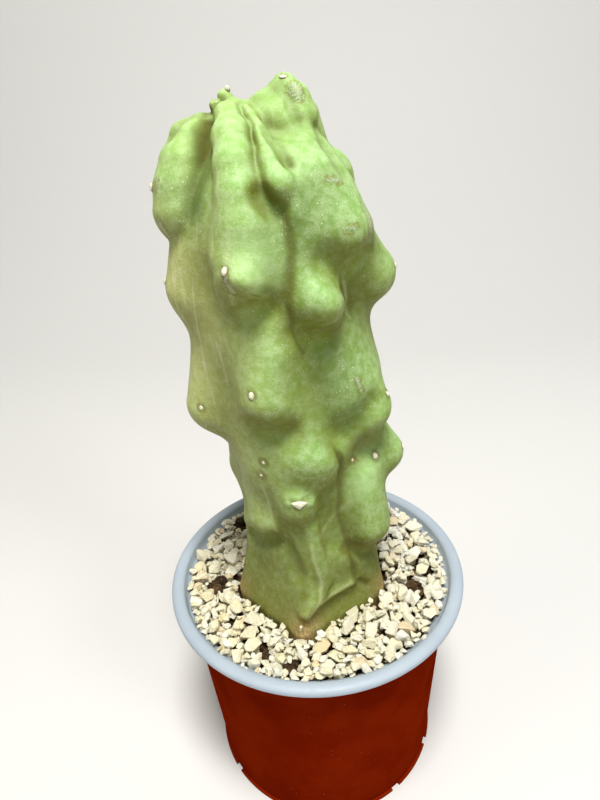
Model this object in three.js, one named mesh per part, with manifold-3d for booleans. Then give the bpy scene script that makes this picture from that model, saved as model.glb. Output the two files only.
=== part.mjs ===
// A totem pole cactus in its nursery pot.
//
// Units are millimetres, +Z is up, and the origin is the centre of the pot's foot.
// The pot is two bonded layers: a brick-red shell, and a pale grey liner that is rolled out over
// the shell's edge as the rim. Potting mix fills the liner, a top dressing of crushed stone
// covers the mix, and the stem stands through both in a hole that follows its own outline.
import * as THREE from 'three';
import { mergeVertices } from 'three/addons/utils/BufferGeometryUtils.js';
import Module from 'manifold-3d';

const wasm = await Module();
wasm.setup();

// ---------------------------------------------------------------- driving dimensions

const TURN_SEGMENTS = 36;          // sides of everything turned about the pot's axis
const LAYER_GAP = 0.3;             // clear space between two nodes that touch in life

const BASE_RADIUS = 54.6;          // shell, outside, at the foot
const SHELL_TOP = 98.6;            // height of the shell's upper edge
const SHELL_TOP_RADIUS = 60.5;
const SHELL_THICKNESS = 1.0;
const LINER_THICKNESS = 0.9;
const FLOOR_RISE = 4.5;            // the middle of the floor stands clear of the table
const FOOT_INNER_RADIUS = 49;      // the flat foot ring runs from here to BASE_RADIUS
const FOOT_LIP = 1.3;              // lip outside the foot ring, as wide as it is high
const LIP_NOTCHES = 12;
const NOTCH_WIDTH = 4.4;
const NOTCH_TURN = 6.5;            // degrees, turns the ring of notches
const DRAIN_RADIUS = 4.5;
const DRAIN_CIRCLE = 30;
const DRAINS = 6;
const DRAIN_SIDES = 14;
const NOTCH_DEPTH = 4;             // of the box that cuts a notch, across the lip
const FLOOR_SLOPE = 2;             // the foot ring's inner wall leans in by this much

const SHOULDER_TOP = 100;          // the liner steps out over the shell's edge up to here
const SHOULDER_RADIUS = 61.1;      // liner, inside, above the step
const RIM_RADIUS = 67.8;           // outside of the rolled rim
const RIM_HALF_WIDTH = 2.9;        // the roll's section is a flattened round
const RIM_HALF_HEIGHT = 1.9;
const RIM_THICKNESS = 1.0;
const RIM_CENTRE_HEIGHT = 103.1;
const RIM_SKIRT = 102.2;           // the roll's outer side ends here
const RIM_ARC_STEPS = 5;

const MIX_TOP = 96;
const SLAB_TOP = 98.2;             // packed fines under the loose stones
const GRAVEL_LEVEL = 101;          // mean top of the stones
const STEM_ZERO = 95;              // the stem's own heights count from here
const STONE_PITCH = 8.9;
const STONE_ROW = STONE_PITCH * Math.sqrt(0.75);
const STONE_LONGEST = [6.2, 9.2];
const STONE_WIDTH = [0.62, 0.92];  // of its longest side
const STONE_THICKNESS = [0.5, 0.75];
const STONE_TIP = 28;              // degrees out of level
const STONE_SUNK = [0.05, 0.2];    // the middle's height above the slab, of its longest side
const CORNER_NARROWING = [0.62, 1.08];
const CORNER_LIFT = [0.75, 1.15];
const CRUMBS_PER_SPOT = 4;
const SOCKET_CLEARANCE = 0.6;      // from the stem to the mix and the stones

const STEM_COLUMNS = 56;           // faces round the stem
const STEM_ROWS = 52;              // faces up the stem, the folds of the crown included

// ---------------------------------------------------------------- materials

function material(colour, roughness) {
  return new THREE.MeshStandardMaterial({ color: colour, roughness: roughness, metalness: 0 });
}

const brickPlastic = material(0x7a2410, 0.35);
const greyPlastic = material(0xc9d0d8, 0.4);
const darkMix = material(0x4a3425, 0.95);
const paleStone = material(0xdcd3b4, 0.85);
const greenSkin = material(0x8fb35f, 0.55);

// ---------------------------------------------------------------- small tools

const radians = THREE.MathUtils.degToRad;

// A repeatable stream of numbers from 0 to 1.
function randomStream(seed) {
  let state = seed >>> 0;
  return function next() {
    state = (Math.imul(state, 1664525) + 1013904223) >>> 0;
    return state / 4294967296;
  };
}

function between(low, high, fraction) {
  return low + (high - low) * fraction;
}

function pick([low, high], random) {
  return between(low, high, random());
}

// Reads a value off a list of [height, value, ...] rows by straight lines between the rows.
function readTable(table, height, column) {
  if (height <= table[0][0]) return table[0][column];
  for (let i = 1; i < table.length; i++) {
    if (height <= table[i][0]) {
      const t = (height - table[i - 1][0]) / (table[i][0] - table[i - 1][0]);
      return between(table[i - 1][column], table[i][column], t);
    }
  }
  return table[table.length - 1][column];
}

// Turns a closed three.js geometry into a solid, with its faces pointing out.
function toSolid(geometry) {
  geometry.deleteAttribute('normal');
  geometry.deleteAttribute('uv');
  const merged = mergeVertices(geometry, 1e-4);
  const positions = merged.attributes.position.array;
  const index = merged.index.array;
  const triangles = [];
  let volume = 0;
  const a = new THREE.Vector3();
  const b = new THREE.Vector3();
  const c = new THREE.Vector3();
  for (let i = 0; i < index.length; i += 3) {
    const [p, q, r] = [index[i], index[i + 1], index[i + 2]];
    if (p === q || q === r || r === p) continue;
    triangles.push(p, q, r);
    a.fromArray(positions, 3 * p);
    b.fromArray(positions, 3 * q);
    c.fromArray(positions, 3 * r);
    volume += a.dot(b.cross(c));
  }
  if (volume < 0) triangles.reverse();
  const mesh = new wasm.Mesh({
    numProp: 3,
    vertProperties: new Float32Array(positions),
    triVerts: new Uint32Array(triangles),
  });
  return new wasm.Manifold(mesh);
}

function joinAll(solids) {
  let layer = solids;
  while (layer.length > 1) {
    const next = [];
    for (let i = 0; i < layer.length; i += 2) {
      next.push(i + 1 < layer.length ? layer[i].add(layer[i + 1]) : layer[i]);
    }
    layer = next;
  }
  return layer[0];
}

// Keeps the largest closed shell of a mesh: pockets sealed by joining are filled that way, and
// chips cut loose at an edge are dropped.
function largestShell(triangles, vertexCount) {
  const parent = Array.from({ length: vertexCount }, (_, i) => i);
  const root = (i) => {
    while (parent[i] !== i) {
      parent[i] = parent[parent[i]];
      i = parent[i];
    }
    return i;
  };
  for (let i = 0; i < triangles.length; i += 3) {
    parent[root(triangles[i])] = root(triangles[i + 1]);
    parent[root(triangles[i + 1])] = root(triangles[i + 2]);
  }
  const sizes = new Map();
  for (const vertex of triangles) {
    sizes.set(root(vertex), (sizes.get(root(vertex)) ?? 0) + 1);
  }
  const [largest] = [...sizes.entries()].reduce((best, entry) => (entry[1] > best[1] ? entry : best));
  return triangles.filter((vertex) => root(vertex) === largest);
}

function namedMesh(name, solid, meshMaterial) {
  const data = solid.getMesh();
  const vertices = new Float32Array(data.vertProperties);
  const triangles = largestShell(new Uint32Array(data.triVerts), vertices.length / 3);
  const geometry = new THREE.BufferGeometry();
  geometry.setAttribute('position', new THREE.BufferAttribute(vertices, 3));
  geometry.setIndex(new THREE.BufferAttribute(triangles, 1));
  geometry.computeVertexNormals();
  const mesh = new THREE.Mesh(geometry, meshMaterial);
  mesh.name = name;
  return mesh;
}

// Turns a profile of [radius, height] points about the pot's axis.
function turned(profile) {
  const points = profile.map(([radius, height]) => new THREE.Vector2(radius, height));
  const geometry = new THREE.LatheGeometry(points, TURN_SEGMENTS);
  geometry.rotateX(Math.PI / 2);
  return toSolid(geometry);
}

function upright(radius, bottom, top, x, y, sides) {
  const geometry = new THREE.CylinderGeometry(radius, radius, top - bottom, sides);
  geometry.rotateX(Math.PI / 2);
  geometry.translate(x, y, (top + bottom) / 2);
  return toSolid(geometry);
}

// Upper half of the rim's section, stepped in from its outside: from the inner side to the outer.
function rimArch(inset) {
  const points = [];
  for (let i = 0; i <= RIM_ARC_STEPS; i++) {
    const angle = Math.PI * (1 - i / RIM_ARC_STEPS);
    points.push([
      RIM_RADIUS - RIM_HALF_WIDTH + (RIM_HALF_WIDTH - inset) * Math.cos(angle),
      RIM_CENTRE_HEIGHT + (RIM_HALF_HEIGHT - inset) * Math.sin(angle),
    ]);
  }
  return points;
}

// ---------------------------------------------------------------- the pot

// Outer radius of the shell's tapering wall at a height; the other layers step in from it.
function wallRadius(height) {
  return BASE_RADIUS + (SHELL_TOP_RADIUS - BASE_RADIUS) * (height / SHELL_TOP);
}

function linerOuterRadius(height) {
  return wallRadius(height) - SHELL_THICKNESS - LAYER_GAP;
}

function linerInnerRadius(height) {
  return linerOuterRadius(height) - LINER_THICKNESS;
}

function drainTools(bottom, top) {
  const tools = [upright(DRAIN_RADIUS, bottom, top, 0, 0, DRAIN_SIDES)];
  for (let i = 0; i < DRAINS; i++) {
    const angle = 2 * Math.PI * i / DRAINS;
    const x = DRAIN_CIRCLE * Math.cos(angle);
    const y = DRAIN_CIRCLE * Math.sin(angle);
    tools.push(upright(DRAIN_RADIUS, bottom, top, x, y, DRAIN_SIDES));
  }
  return joinAll(tools);
}

function potShell() {
  const wall = SHELL_THICKNESS;
  const body = turned([
    [0, FLOOR_RISE],
    [FOOT_INNER_RADIUS - FLOOR_SLOPE, FLOOR_RISE],
    [FOOT_INNER_RADIUS, 0],
    [BASE_RADIUS + FOOT_LIP, 0],
    [BASE_RADIUS + FOOT_LIP, FOOT_LIP],
    [wallRadius(FOOT_LIP), FOOT_LIP],
    [SHELL_TOP_RADIUS, SHELL_TOP],
    [SHELL_TOP_RADIUS - wall, SHELL_TOP],
    [wallRadius(wall) - wall, wall],
    [FOOT_INNER_RADIUS + wall, wall],
    [FOOT_INNER_RADIUS - FLOOR_SLOPE + wall, FLOOR_RISE + wall],
    [0, FLOOR_RISE + wall],
  ]);
  const notches = [];
  for (let i = 0; i < LIP_NOTCHES; i++) {
    const notch = new THREE.BoxGeometry(NOTCH_DEPTH, NOTCH_WIDTH, NOTCH_DEPTH);
    notch.translate(wallRadius(FOOT_LIP) + NOTCH_DEPTH / 2, 0, 0);
    notch.rotateZ(radians(NOTCH_TURN + 360 * i / LIP_NOTCHES));
    notches.push(toSolid(notch));
  }
  return body.subtract(joinAll(notches)).subtract(drainTools(0, 10));
}

function potLiner() {
  const floorUnder = FLOOR_RISE + SHELL_THICKNESS + LAYER_GAP;
  const ringUnder = SHELL_THICKNESS + LAYER_GAP;
  const wall = LINER_THICKNESS;
  const ringInner = FOOT_INNER_RADIUS + SHELL_THICKNESS + LAYER_GAP;
  const body = turned([
    [0, floorUnder],
    [ringInner - FLOOR_SLOPE, floorUnder],
    [ringInner, ringUnder],
    [linerOuterRadius(ringUnder), ringUnder],
    [linerOuterRadius(SHELL_TOP), SHELL_TOP + LAYER_GAP],
    [SHOULDER_RADIUS + wall, SHOULDER_TOP - wall],
    ...rimArch(RIM_THICKNESS),
    [RIM_RADIUS - RIM_THICKNESS, RIM_SKIRT],
    [RIM_RADIUS, RIM_SKIRT],
    ...rimArch(0).reverse(),
    [SHOULDER_RADIUS, SHOULDER_TOP],
    [linerInnerRadius(SHELL_TOP), SHELL_TOP + LAYER_GAP + wall / 2],
    [linerInnerRadius(ringUnder + wall), ringUnder + wall],
    [ringInner + wall, ringUnder + wall],
    [ringInner - FLOOR_SLOPE + wall, floorUnder + wall],
    [0, floorUnder + wall],
  ]);
  return body.subtract(drainTools(0, 10));
}

// ---------------------------------------------------------------- the stem's form

// Heights count from STEM_ZERO. The stem leans: its middle line passes these [height, x, y].
const MIDDLE_LINE = [
  [-31, 0, 0], [39, 1, 0], [69, 0, 0], [99, -4, 0], [129, -7, 0],
  [159, -8, 0], [179, -10, 0], [194, -12.5, -1], [209, -14, -2],
];

// Flesh round the middle line: [height, radius].
const CORE = [
  [-16, 18], [9, 22], [39, 24], [69, 26], [99, 28], [149, 28.5], [169, 25], [184, 15], [196, 4],
];

// The foot is a five-cornered column: [azimuth, reach] of each rib's corner, clockwise from the
// left one, and [height, scale] of the whole outline.
const FOOT_CORNERS = [[-166, 39], [-99, 41.5], [-25, 34.5], [46, 37], [114, 38]];
const FOOT_SCALE = [[-25, 0.85], [-10, 0.97], [6, 1], [14, 0.94], [29, 0.85], [49, 0.79], [71, 0.7]];
const FOOT_BOTTOM = -26;
const FOOT_TOP = 69;

// Each knob swells down and out of its rib to a blunt tip. The tip's height, azimuth, reach from
// the middle line and radius; how far above it the knob starts, and how far round; how softly it
// blends; the reach and radius where it starts.
const KNOBS = [
  // the front rib
  [70, -98, 36.5, 6, 18, -3, 11, 30, 12],
  [114, -102, 39.5, 8, 24, 2, 13, 32, 15],
  [157, -104, 40.5, 8, 18, 9, 10, 32, 14],
  // the rib right of it, and the swell low down between them
  [48, -36, 37.5, 9.5, 24, 2, 4, 34, 11],
  [102, -30, 41.5, 10, 20, -8, 11, 33, 16],
  [147, -62, 39.5, 8, 16, 3, 10, 32, 12],
  [166, -36, 40, 11, 12, -6, 9, 34, 15],
  [90, -78, 34, 10, 18, -6, 11, 28, 12],
  // the right-hand rib
  [74, -7, 40.5, 9, 13, -2, 8, 33, 11],
  [149, -5, 43.5, 10.5, 15, -10, 9, 34, 12],
  [113, 2, 33, 10, 16, 0, 12, 30, 12],
  // the left-hand rib
  [57, -133, 33.5, 6, 20, 6, 8, 28, 11],
  [103, -165, 42.3, 11, 26, 0, 12, 33, 15],
  [149, -166, 39, 10, 20, 0, 12, 31, 14],
  [85, -122, 30.5, 9, 20, 4, 12, 28, 12],
  // the three ribs at the back
  [61, 50, 37, 8, 20, 0, 10, 31, 13],
  [101, 40, 40, 9, 22, 2, 12, 32, 15],
  [141, 46, 39.5, 9, 20, -2, 12, 31, 15],
  [49, 112, 36, 7, 20, 0, 9, 30, 13],
  [85, 104, 39.5, 9, 22, 2, 11, 31, 15],
  [125, 100, 40.5, 9, 22, -2, 12, 31, 15],
  [163, 98, 37.5, 10, 13, 4, 10, 29, 13],
  [67, 168, 35, 8, 20, -4, 10, 29, 13],
  [99, 146, 38, 9, 20, 4, 11, 29, 14],
  [137, 150, 40, 9, 20, -2, 12, 31, 15],
  [170, 158, 37, 10, 12, 2, 10, 28, 13],
];

// The folds of the crown run down from the growing point: a blend, then [x, y, height, radius]
// for each point of the fold's middle.
const CROWN_FOLDS = [
  { name: 'front ridge', blend: 3, path: [[-15.4, 1, 204.8, 1.9], [-18, -3, 202, 3.9],
    [-16.5, -12, 196, 5.9], [-15.4, -20.5, 189.2, 6.2], [-14.3, -25.5, 181, 6.8],
    [-14, -27.5, 172.7, 8], [-15.5, -27, 164, 9.5]] },
  { name: 'front tongue', blend: 1.2, path: [[-12.2, -3, 203.4, 1.7], [-10.6, -6, 201, 2.1],
    [-7.1, -14, 195.6, 2.9], [-4.8, -21.5, 189.2, 4.4], [-3, -27, 182.7, 5]] },
  { name: 'skyline ridge', blend: 3, path: [[-14, 1.5, 203.2, 2.2], [-7, 2.5, 205.8, 2.2],
    [0, 4, 209, 3.4]] },
  { name: 'peak shoulder', blend: 4, path: [[0, 4.5, 208, 3.6], [2, 1, 199, 6], [5, -4, 187, 9],
    [9, -11, 176, 11.5], [11, -16, 167, 14]] },
  { name: 'web under the skyline', blend: 4, path: [[-12, 0.5, 199.5, 3.5], [-4, 0.5, 199, 6],
    [1, 1, 199, 7]] },
  { name: 'peak lobe', blend: 2, path: [[0.6, 3, 209.4, 3.4], [3.2, 1.8, 205.5, 4.8],
    [5, 1, 200.5, 5.5]] },
  { name: 'back of the peak', blend: 3, path: [[2.8, 11, 199.2, 8.6], [4, 12, 190, 10]] },
  { name: 'right-hand lobe', blend: 3, path: [[11.5, 8, 180, 10.8], [12, 8, 169, 12]] },
  { name: 'left-hand lobe', blend: 1.6, path: [[-20, 2, 201, 3], [-28, 2, 199.2, 4.6],
    [-31, 0, 195.5, 7.4], [-32.3, -3, 188.5, 9.9], [-33.8, -5, 181, 11.2], [-33.8, -6, 175, 12.5]] },
  { name: 'left lobe behind', blend: 2, path: [[-32, 11, 192, 10], [-34, 12, 181, 13]] },
  { name: 'first bud', blend: 1.2, path: [[-19.3, 3, 207.6, 2.3], [-17, 2, 204, 3]] },
  { name: 'second bud', blend: 1.2, path: [[-22.5, 1.5, 204.8, 2.3], [-19, 1, 200, 4]] },
  { name: 'back ridge', blend: 3, path: [[-13, 8, 199, 3.5], [-8, 20, 190, 8], [-7, 25, 177, 11]] },
  { name: 'second back ridge', blend: 3, path: [[-19, 8, 199, 3.5], [-22, 19, 190, 7],
    [-23, 24, 177, 10]] },
];

// The last folds are strokes along the skin: a depth, negative where it is a ridge, a width,
// and [x, y, height] points.
const STROKES = [
  { name: 'under the tongue', depth: 3.5, width: 3, path: [[-7.5, -31, 181], [-5.5, -31, 178.5],
    [-3, -31, 176.5]] },
  { name: 'tongue and web', depth: 2, width: 1.8, path: [[-5.5, -14.5, 198.5], [-4, -18, 195.5],
    [-1.5, -23, 192], [0.5, -25, 188.5]] },
  { name: 'tongue to flank', depth: -2, width: 4, path: [[1, -29.5, 185], [1.5, -29, 180.5],
    [1.5, -30, 176.5]] },
  { name: 'peak lobe', depth: 1.5, width: 1.6, path: [[1.5, -3, 207.5], [2, -5.5, 203.5],
    [4, -7, 199.5]] },
  { name: 'right-hand lobe', depth: 1.5, width: 2, path: [[10.5, -3.5, 196.5], [12.5, -11.5, 191.5],
    [15.5, -17, 187], [17.5, -18, 184]] },
  { name: 'left lobe behind', depth: 1.8, width: 2.2, path: [[-38, -5, 197], [-35, -4, 200.5],
    [-30, 0.5, 203.5], [-26, 0.5, 203.5]] },
  { name: 'under the right flank', depth: 3.5, width: 5, path: [[12.5, -30.5, 160.5],
    [17.5, -26.5, 156.5], [23.5, -21, 159]] },
  { name: 'right flank and right knob', depth: 2.5, width: 2.6, path: [[24.5, -20, 159],
    [19.5, -23, 155], [16.5, -24, 149.5], [17.5, -19, 141.5]] },
  { name: 'under the first knob', depth: 5, width: 4.5, path: [[-18.5, -38.5, 153.5],
    [-15, -36, 148.5], [-10, -35, 147.5]] },
  { name: 'first knob', depth: -3, width: 5, path: [[-15.5, -39.5, 158]] },
  { name: 'second right knob', depth: -1.8, width: 5.5, path: [[7.5, -35, 151.5],
    [11.5, -34.5, 148]] },
  { name: 'under the second right knob', depth: 4, width: 5, path: [[3.5, -33, 138.5],
    [8, -29.5, 134.5]] },
  { name: 'middle valley', depth: 2, width: 5, path: [[3.5, -31, 127.5], [5, -30.5, 117.5],
    [6.5, -31, 106], [12.5, -29.5, 93]] },
  { name: 'under the third right knob', depth: 5, width: 5, path: [[14.5, -27.5, 97],
    [20.5, -26.5, 100], [26.5, -24.5, 105.5]] },
  { name: 'second knob', depth: -1.5, width: 6, path: [[-8, -35, 131], [-12.5, -37.5, 120.5]] },
  { name: 'under the second knob', depth: 3.2, width: 4.5, path: [[-16, -34.5, 106.5],
    [-11, -34, 101.5], [-5.5, -34.5, 101.5]] },
  { name: 'low front swell', depth: -1.6, width: 8, path: [[-1, -35, 91], [6, -34.5, 87.5]] },
  { name: 'shelf', depth: 5, width: 3.2, path: [[-26.5, -13, 39.5], [-19, -21, 44.5],
    [-12.5, -26.5, 47.5]] },
  { name: 'shelf swell', depth: -2, width: 4.5, path: [[-26.5, -12, 47], [-16, -27.5, 57]] },
  { name: 'left of the front rib', depth: 2.6, width: 3, path: [[-10.5, -28, 47],
    [-8.5, -29.5, 42.5], [-7, -32, 34]] },
  { name: 'front ridge of the foot', depth: -4.5, width: 2.6, path: [[0, -30, 56.5], [1, -30, 47],
    [3, -30, 34.5], [4, -30, 27], [2, -32, 21], [-4, -36.5, 16.5]] },
  { name: 'pale edge of the foot', depth: -1.7, width: 2, path: [[18, -22, 19.5], [9, -28, 19.5],
    [2, -32, 18.5]] },
  { name: 'low front facet', depth: 1.7, width: 7, path: [[17.5, -23.5, 13], [8, -30, 12],
    [1.5, -34.5, 11.5]] },
  { name: 'under the low right lobe', depth: 3.5, width: 2.4, path: [[14.5, -24.5, 40],
    [22, -19, 32], [30, -9.5, 26]] },
  { name: 'crack', depth: 2, width: 1.4, path: [[11.5, -30, 97.5], [13, -26, 78.5], [12, -26, 69.5],
    [11, -26, 58.5], [13, -25, 49.5], [14, -25, 44], [16.5, -23.5, 37], [17, -22.5, 26.5],
    [18, -22, 20], [23, -19, 14]] },
  { name: 'left of the crack', depth: 2.5, width: 4.5, path: [[8, -28.5, 70], [8, -27.5, 58],
    [9, -27, 45]] },
  { name: 'central seam', depth: 1.3, width: 1.3, path: [[-1.5, -31, 174.5], [-0.5, -31.5, 170.5],
    [0.5, -32, 164.5], [-1, -33.5, 156.5], [-3, -34.5, 149.5], [-1, -34, 141], [3, -31, 130]] },
  { name: 'lip over the low areole', depth: -2.2, width: 2, path: [[-7, -35.5, 74],
    [-3.5, -35.5, 75], [0.5, -34.5, 72.5]] },
];

function middle(height) {
  return [readTable(MIDDLE_LINE, height, 1), readTable(MIDDLE_LINE, height, 2)];
}

function aroundMiddle(azimuth, height, reach) {
  const [x, y] = middle(height);
  const angle = radians(azimuth);
  return [x + reach * Math.cos(angle), y + reach * Math.sin(angle), height];
}

// A limb is a capsule whose radius runs from one end to the other.
function limb(start, end, startRadius, endRadius, blend) {
  return { start, end, startRadius, endRadius, blend };
}

function stemLimbs() {
  const limbs = [];
  for (let i = 1; i < CORE.length; i++) {
    const [h0, r0] = CORE[i - 1];
    const [h1, r1] = CORE[i];
    limbs.push(limb(aroundMiddle(0, h0, 0), aroundMiddle(0, h1, 0), r0, r1, 10));
  }
  for (const [height, azimuth, reach, radius, rise, swing, blend, startReach, startRadius] of KNOBS) {
    const tip = aroundMiddle(azimuth, height, reach - radius);
    const start = aroundMiddle(azimuth + swing, height + rise, startReach - startRadius);
    limbs.push(limb(tip, start, radius, startRadius, blend));
  }
  for (const fold of CROWN_FOLDS) {
    for (let i = 1; i < fold.path.length; i++) {
      const from = fold.path[i - 1];
      const to = fold.path[i];
      limbs.push(limb(from.slice(0, 3), to.slice(0, 3), from[3], to[3], fold.blend));
    }
  }
  return limbs;
}

const LIMBS = stemLimbs();

function smoothMin(a, b, blend) {
  const h = Math.max(blend - Math.abs(a - b), 0) / blend;
  return Math.min(a, b) - h * h * blend / 4;
}

function smoothMax(a, b, blend) {
  return -smoothMin(-a, -b, blend);
}

// How far along a segment a point lies (0 to 1), and how far from it.
function segmentPlace(start, end, x, y, z) {
  const [ax, ay, az] = start;
  const dx = end[0] - ax;
  const dy = end[1] - ay;
  const dz = end[2] - az;
  const along = (x - ax) * dx + (y - ay) * dy + (z - az) * dz;
  const lengthSquared = Math.max(dx * dx + dy * dy + dz * dz, 1e-9);
  const t = THREE.MathUtils.clamp(along / lengthSquared, 0, 1);
  return { t, gap: Math.hypot(x - ax - t * dx, y - ay - t * dy, z - az - t * dz) };
}

function limbDistance(part, x, y, z) {
  const { t, gap } = segmentPlace(part.start, part.end, x, y, z);
  return gap - between(part.startRadius, part.endRadius, t);
}

function footDistance(x, y, height) {
  const scale = readTable(FOOT_SCALE, height, 1);
  const [mx, my] = middle(height);
  const u = (x - mx) / scale;
  const v = (y - my) / scale;
  let distance = -Infinity;
  for (let i = 0; i < FOOT_CORNERS.length; i++) {
    const [a0, r0] = FOOT_CORNERS[i];
    const [a1, r1] = FOOT_CORNERS[(i + 1) % FOOT_CORNERS.length];
    const [x0, y0] = [r0 * Math.cos(radians(a0)), r0 * Math.sin(radians(a0))];
    const [x1, y1] = [r1 * Math.cos(radians(a1)), r1 * Math.sin(radians(a1))];
    const length = Math.hypot(x1 - x0, y1 - y0);
    const side = ((u - x0) * (y1 - y0) - (v - y0) * (x1 - x0)) / length;
    distance = i === 0 ? side : smoothMax(distance, side, 5);
  }
  distance = smoothMax(distance * scale, height - FOOT_TOP, 10);
  return smoothMax(distance, FOOT_BOTTOM - height, 8);
}

function strokeCut(stroke, x, y, height) {
  let nearest = Infinity;
  for (let i = 0; i < Math.max(stroke.path.length - 1, 1); i++) {
    const from = stroke.path[i];
    const to = stroke.path[i + 1] ?? from;
    nearest = Math.min(nearest, segmentPlace(from, to, x, y, height).gap);
  }
  return stroke.depth * Math.exp(-((nearest / stroke.width) ** 2));
}

// Distance from the stem's skin: negative inside it.
function stemDistance(x, y, height) {
  let distance = footDistance(x, y, height);
  for (const part of LIMBS) {
    distance = smoothMin(distance, limbDistance(part, x, y, height), part.blend);
  }
  for (const stroke of STROKES) distance += strokeCut(stroke, x, y, height);
  return distance;
}

// ---------------------------------------------------------------- the stem's skin

const RAY_LOW = -21;               // the lowest ray leaves the middle line at this height
const RAY_HIGH = 187;              // and the highest at this one
const BOTTOM_SHARE = 0.03;         // share of the rows that fan down under the foot
const SIDE_SHARE = 0.66;           // rows up to here climb the side, and the rest fan over the crown
const SIDE_TILT = -20;             // degrees; side rays dip, to look under the knobs
const RAY_REACH = 64;

// Row t (0 to 1) of the skin: the height at which its rays leave the middle line, and their tilt.
function rayRow(t) {
  const side = THREE.MathUtils.clamp((t - BOTTOM_SHARE) / (SIDE_SHARE - BOTTOM_SHARE), 0, 1);
  const height = between(RAY_LOW, RAY_HIGH, side);
  if (t < BOTTOM_SHARE) return [height, -90 + (90 + SIDE_TILT) * (t / BOTTOM_SHARE)];
  if (t < SIDE_SHARE) return [height, SIDE_TILT * (1 - side ** 3)];
  return [height, 90 * (t - SIDE_SHARE) / (1 - SIDE_SHARE)];
}

// The outermost point of the skin, pushed out by `offset`, on the ray of row t and an azimuth.
function skinPoint(t, azimuth, offset) {
  const [height, tiltDegrees] = rayRow(t);
  const [x, y] = middle(height);
  const tilt = radians(tiltDegrees);
  const dx = Math.cos(tilt) * Math.cos(azimuth);
  const dy = Math.cos(tilt) * Math.sin(azimuth);
  const dz = Math.sin(tilt);
  const outside = (r) => stemDistance(x + r * dx, y + r * dy, height + r * dz) > offset;
  const step = 2;
  let far = RAY_REACH;
  while (far > step && outside(far - step)) far -= step;
  let near = far - step;
  for (let i = 0; i < 9; i++) {
    const half = (near + far) / 2;
    if (outside(half)) far = half;
    else near = half;
  }
  return [x + near * dx, y + near * dy, STEM_ZERO + height + near * dz];
}

function stemSolid(offset) {
  const positions = [...skinPoint(0, 0, offset)];
  for (let row = 0; row < STEM_ROWS; row++) {
    for (let column = 0; column < STEM_COLUMNS; column++) {
      const azimuth = 2 * Math.PI * column / STEM_COLUMNS;
      positions.push(...skinPoint((row + 0.5) / STEM_ROWS, azimuth, offset));
    }
  }
  positions.push(...skinPoint(1, 0, offset));
  const topIndex = positions.length / 3 - 1;
  const at = (row, column) => 1 + row * STEM_COLUMNS + column % STEM_COLUMNS;
  const index = [];
  for (let column = 0; column < STEM_COLUMNS; column++) {
    index.push(0, at(0, column + 1), at(0, column));
    for (let row = 0; row < STEM_ROWS - 1; row++) {
      const [a, b] = [at(row, column), at(row, column + 1)];
      const [c, d] = [at(row + 1, column + 1), at(row + 1, column)];
      index.push(a, b, c, a, c, d);
    }
    index.push(topIndex, at(STEM_ROWS - 1, column), at(STEM_ROWS - 1, column + 1));
  }
  const geometry = new THREE.BufferGeometry();
  geometry.setAttribute('position', new THREE.BufferAttribute(new Float32Array(positions), 3));
  geometry.setIndex(index);
  return toSolid(geometry);
}

// Felt cushions: azimuth, height and radius. The first dozen face the front.
const AREOLES = [
  [-107, 161.5, 1.5], [-105, 119.5, 1.4], [-95, 72.5, 1.9], [-6, 151.5, 1.2], [-25, 107, 1],
  [-112, 89, 0.7], [-116, 83, 0.6], [-49, 82, 0.6], [-31, 80, 1.4], [-151, 106, 1],
  [-167, 183, 1.6], [-101, 10, 0.8], [-166, 152, 1.4], [-7, 76, 1.2], [50, 64, 1.4],
  [40, 104, 1.5], [46, 144, 1.4], [112, 52, 1.3], [104, 88, 1.5], [100, 128, 1.5],
  [98, 166, 1.3], [168, 70, 1.4], [146, 102, 1.4], [150, 140, 1.5], [158, 173, 1.3],
];

function areole(azimuth, height, radius) {
  const [x, y] = middle(height);
  const angle = radians(azimuth);
  let reach = RAY_REACH;
  while (stemDistance(x + reach * Math.cos(angle), y + reach * Math.sin(angle), height) > 0) {
    reach -= 0.25;
  }
  const cushion = new THREE.OctahedronGeometry(radius);
  cushion.scale(0.6, 1, 1);
  cushion.rotateZ(angle);
  cushion.translate(
    x + reach * Math.cos(angle),
    y + reach * Math.sin(angle),
    STEM_ZERO + height,
  );
  return toSolid(cushion);
}

function cactusStem() {
  const areoles = AREOLES.map(([azimuth, height, radius]) => areole(azimuth, height, radius));
  return joinAll([stemSolid(0), ...areoles]);
}

// ---------------------------------------------------------------- mix and gravel

// Places where the stones part and the dark mix shows: x, y and radius.
const MIX_SPOTS = [[-37, 36, 6.5], [-46, -7, 6], [44.5, -13, 5], [-11, -52, 3.6], [-22, -47, 3]];
const SPOT_SIDES = 10;
const WELL_ABOVE = GRAVEL_LEVEL + 10;

// What fills the liner between two heights: the taper of the wall, and above it the shoulder.
function filling(bottom, top) {
  const step = SHELL_TOP - 1;
  const tapered = turned([
    [0, bottom],
    [linerInnerRadius(bottom) - LAYER_GAP, bottom],
    [linerInnerRadius(Math.min(top, step)) - LAYER_GAP, Math.min(top, step)],
    [linerInnerRadius(Math.min(top, step)) - LAYER_GAP, top],
    [0, top],
  ]);
  if (top < SHOULDER_TOP) return tapered;
  const shoulder = [
    [0, step],
    [linerInnerRadius(SHELL_TOP) - LAYER_GAP, SHOULDER_TOP - LAYER_GAP],
    [SHOULDER_RADIUS - LAYER_GAP, SHOULDER_TOP + 2 * LAYER_GAP],
    [SHOULDER_RADIUS - LAYER_GAP, top],
    [0, top],
  ];
  return tapered.add(turned(shoulder));
}

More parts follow.
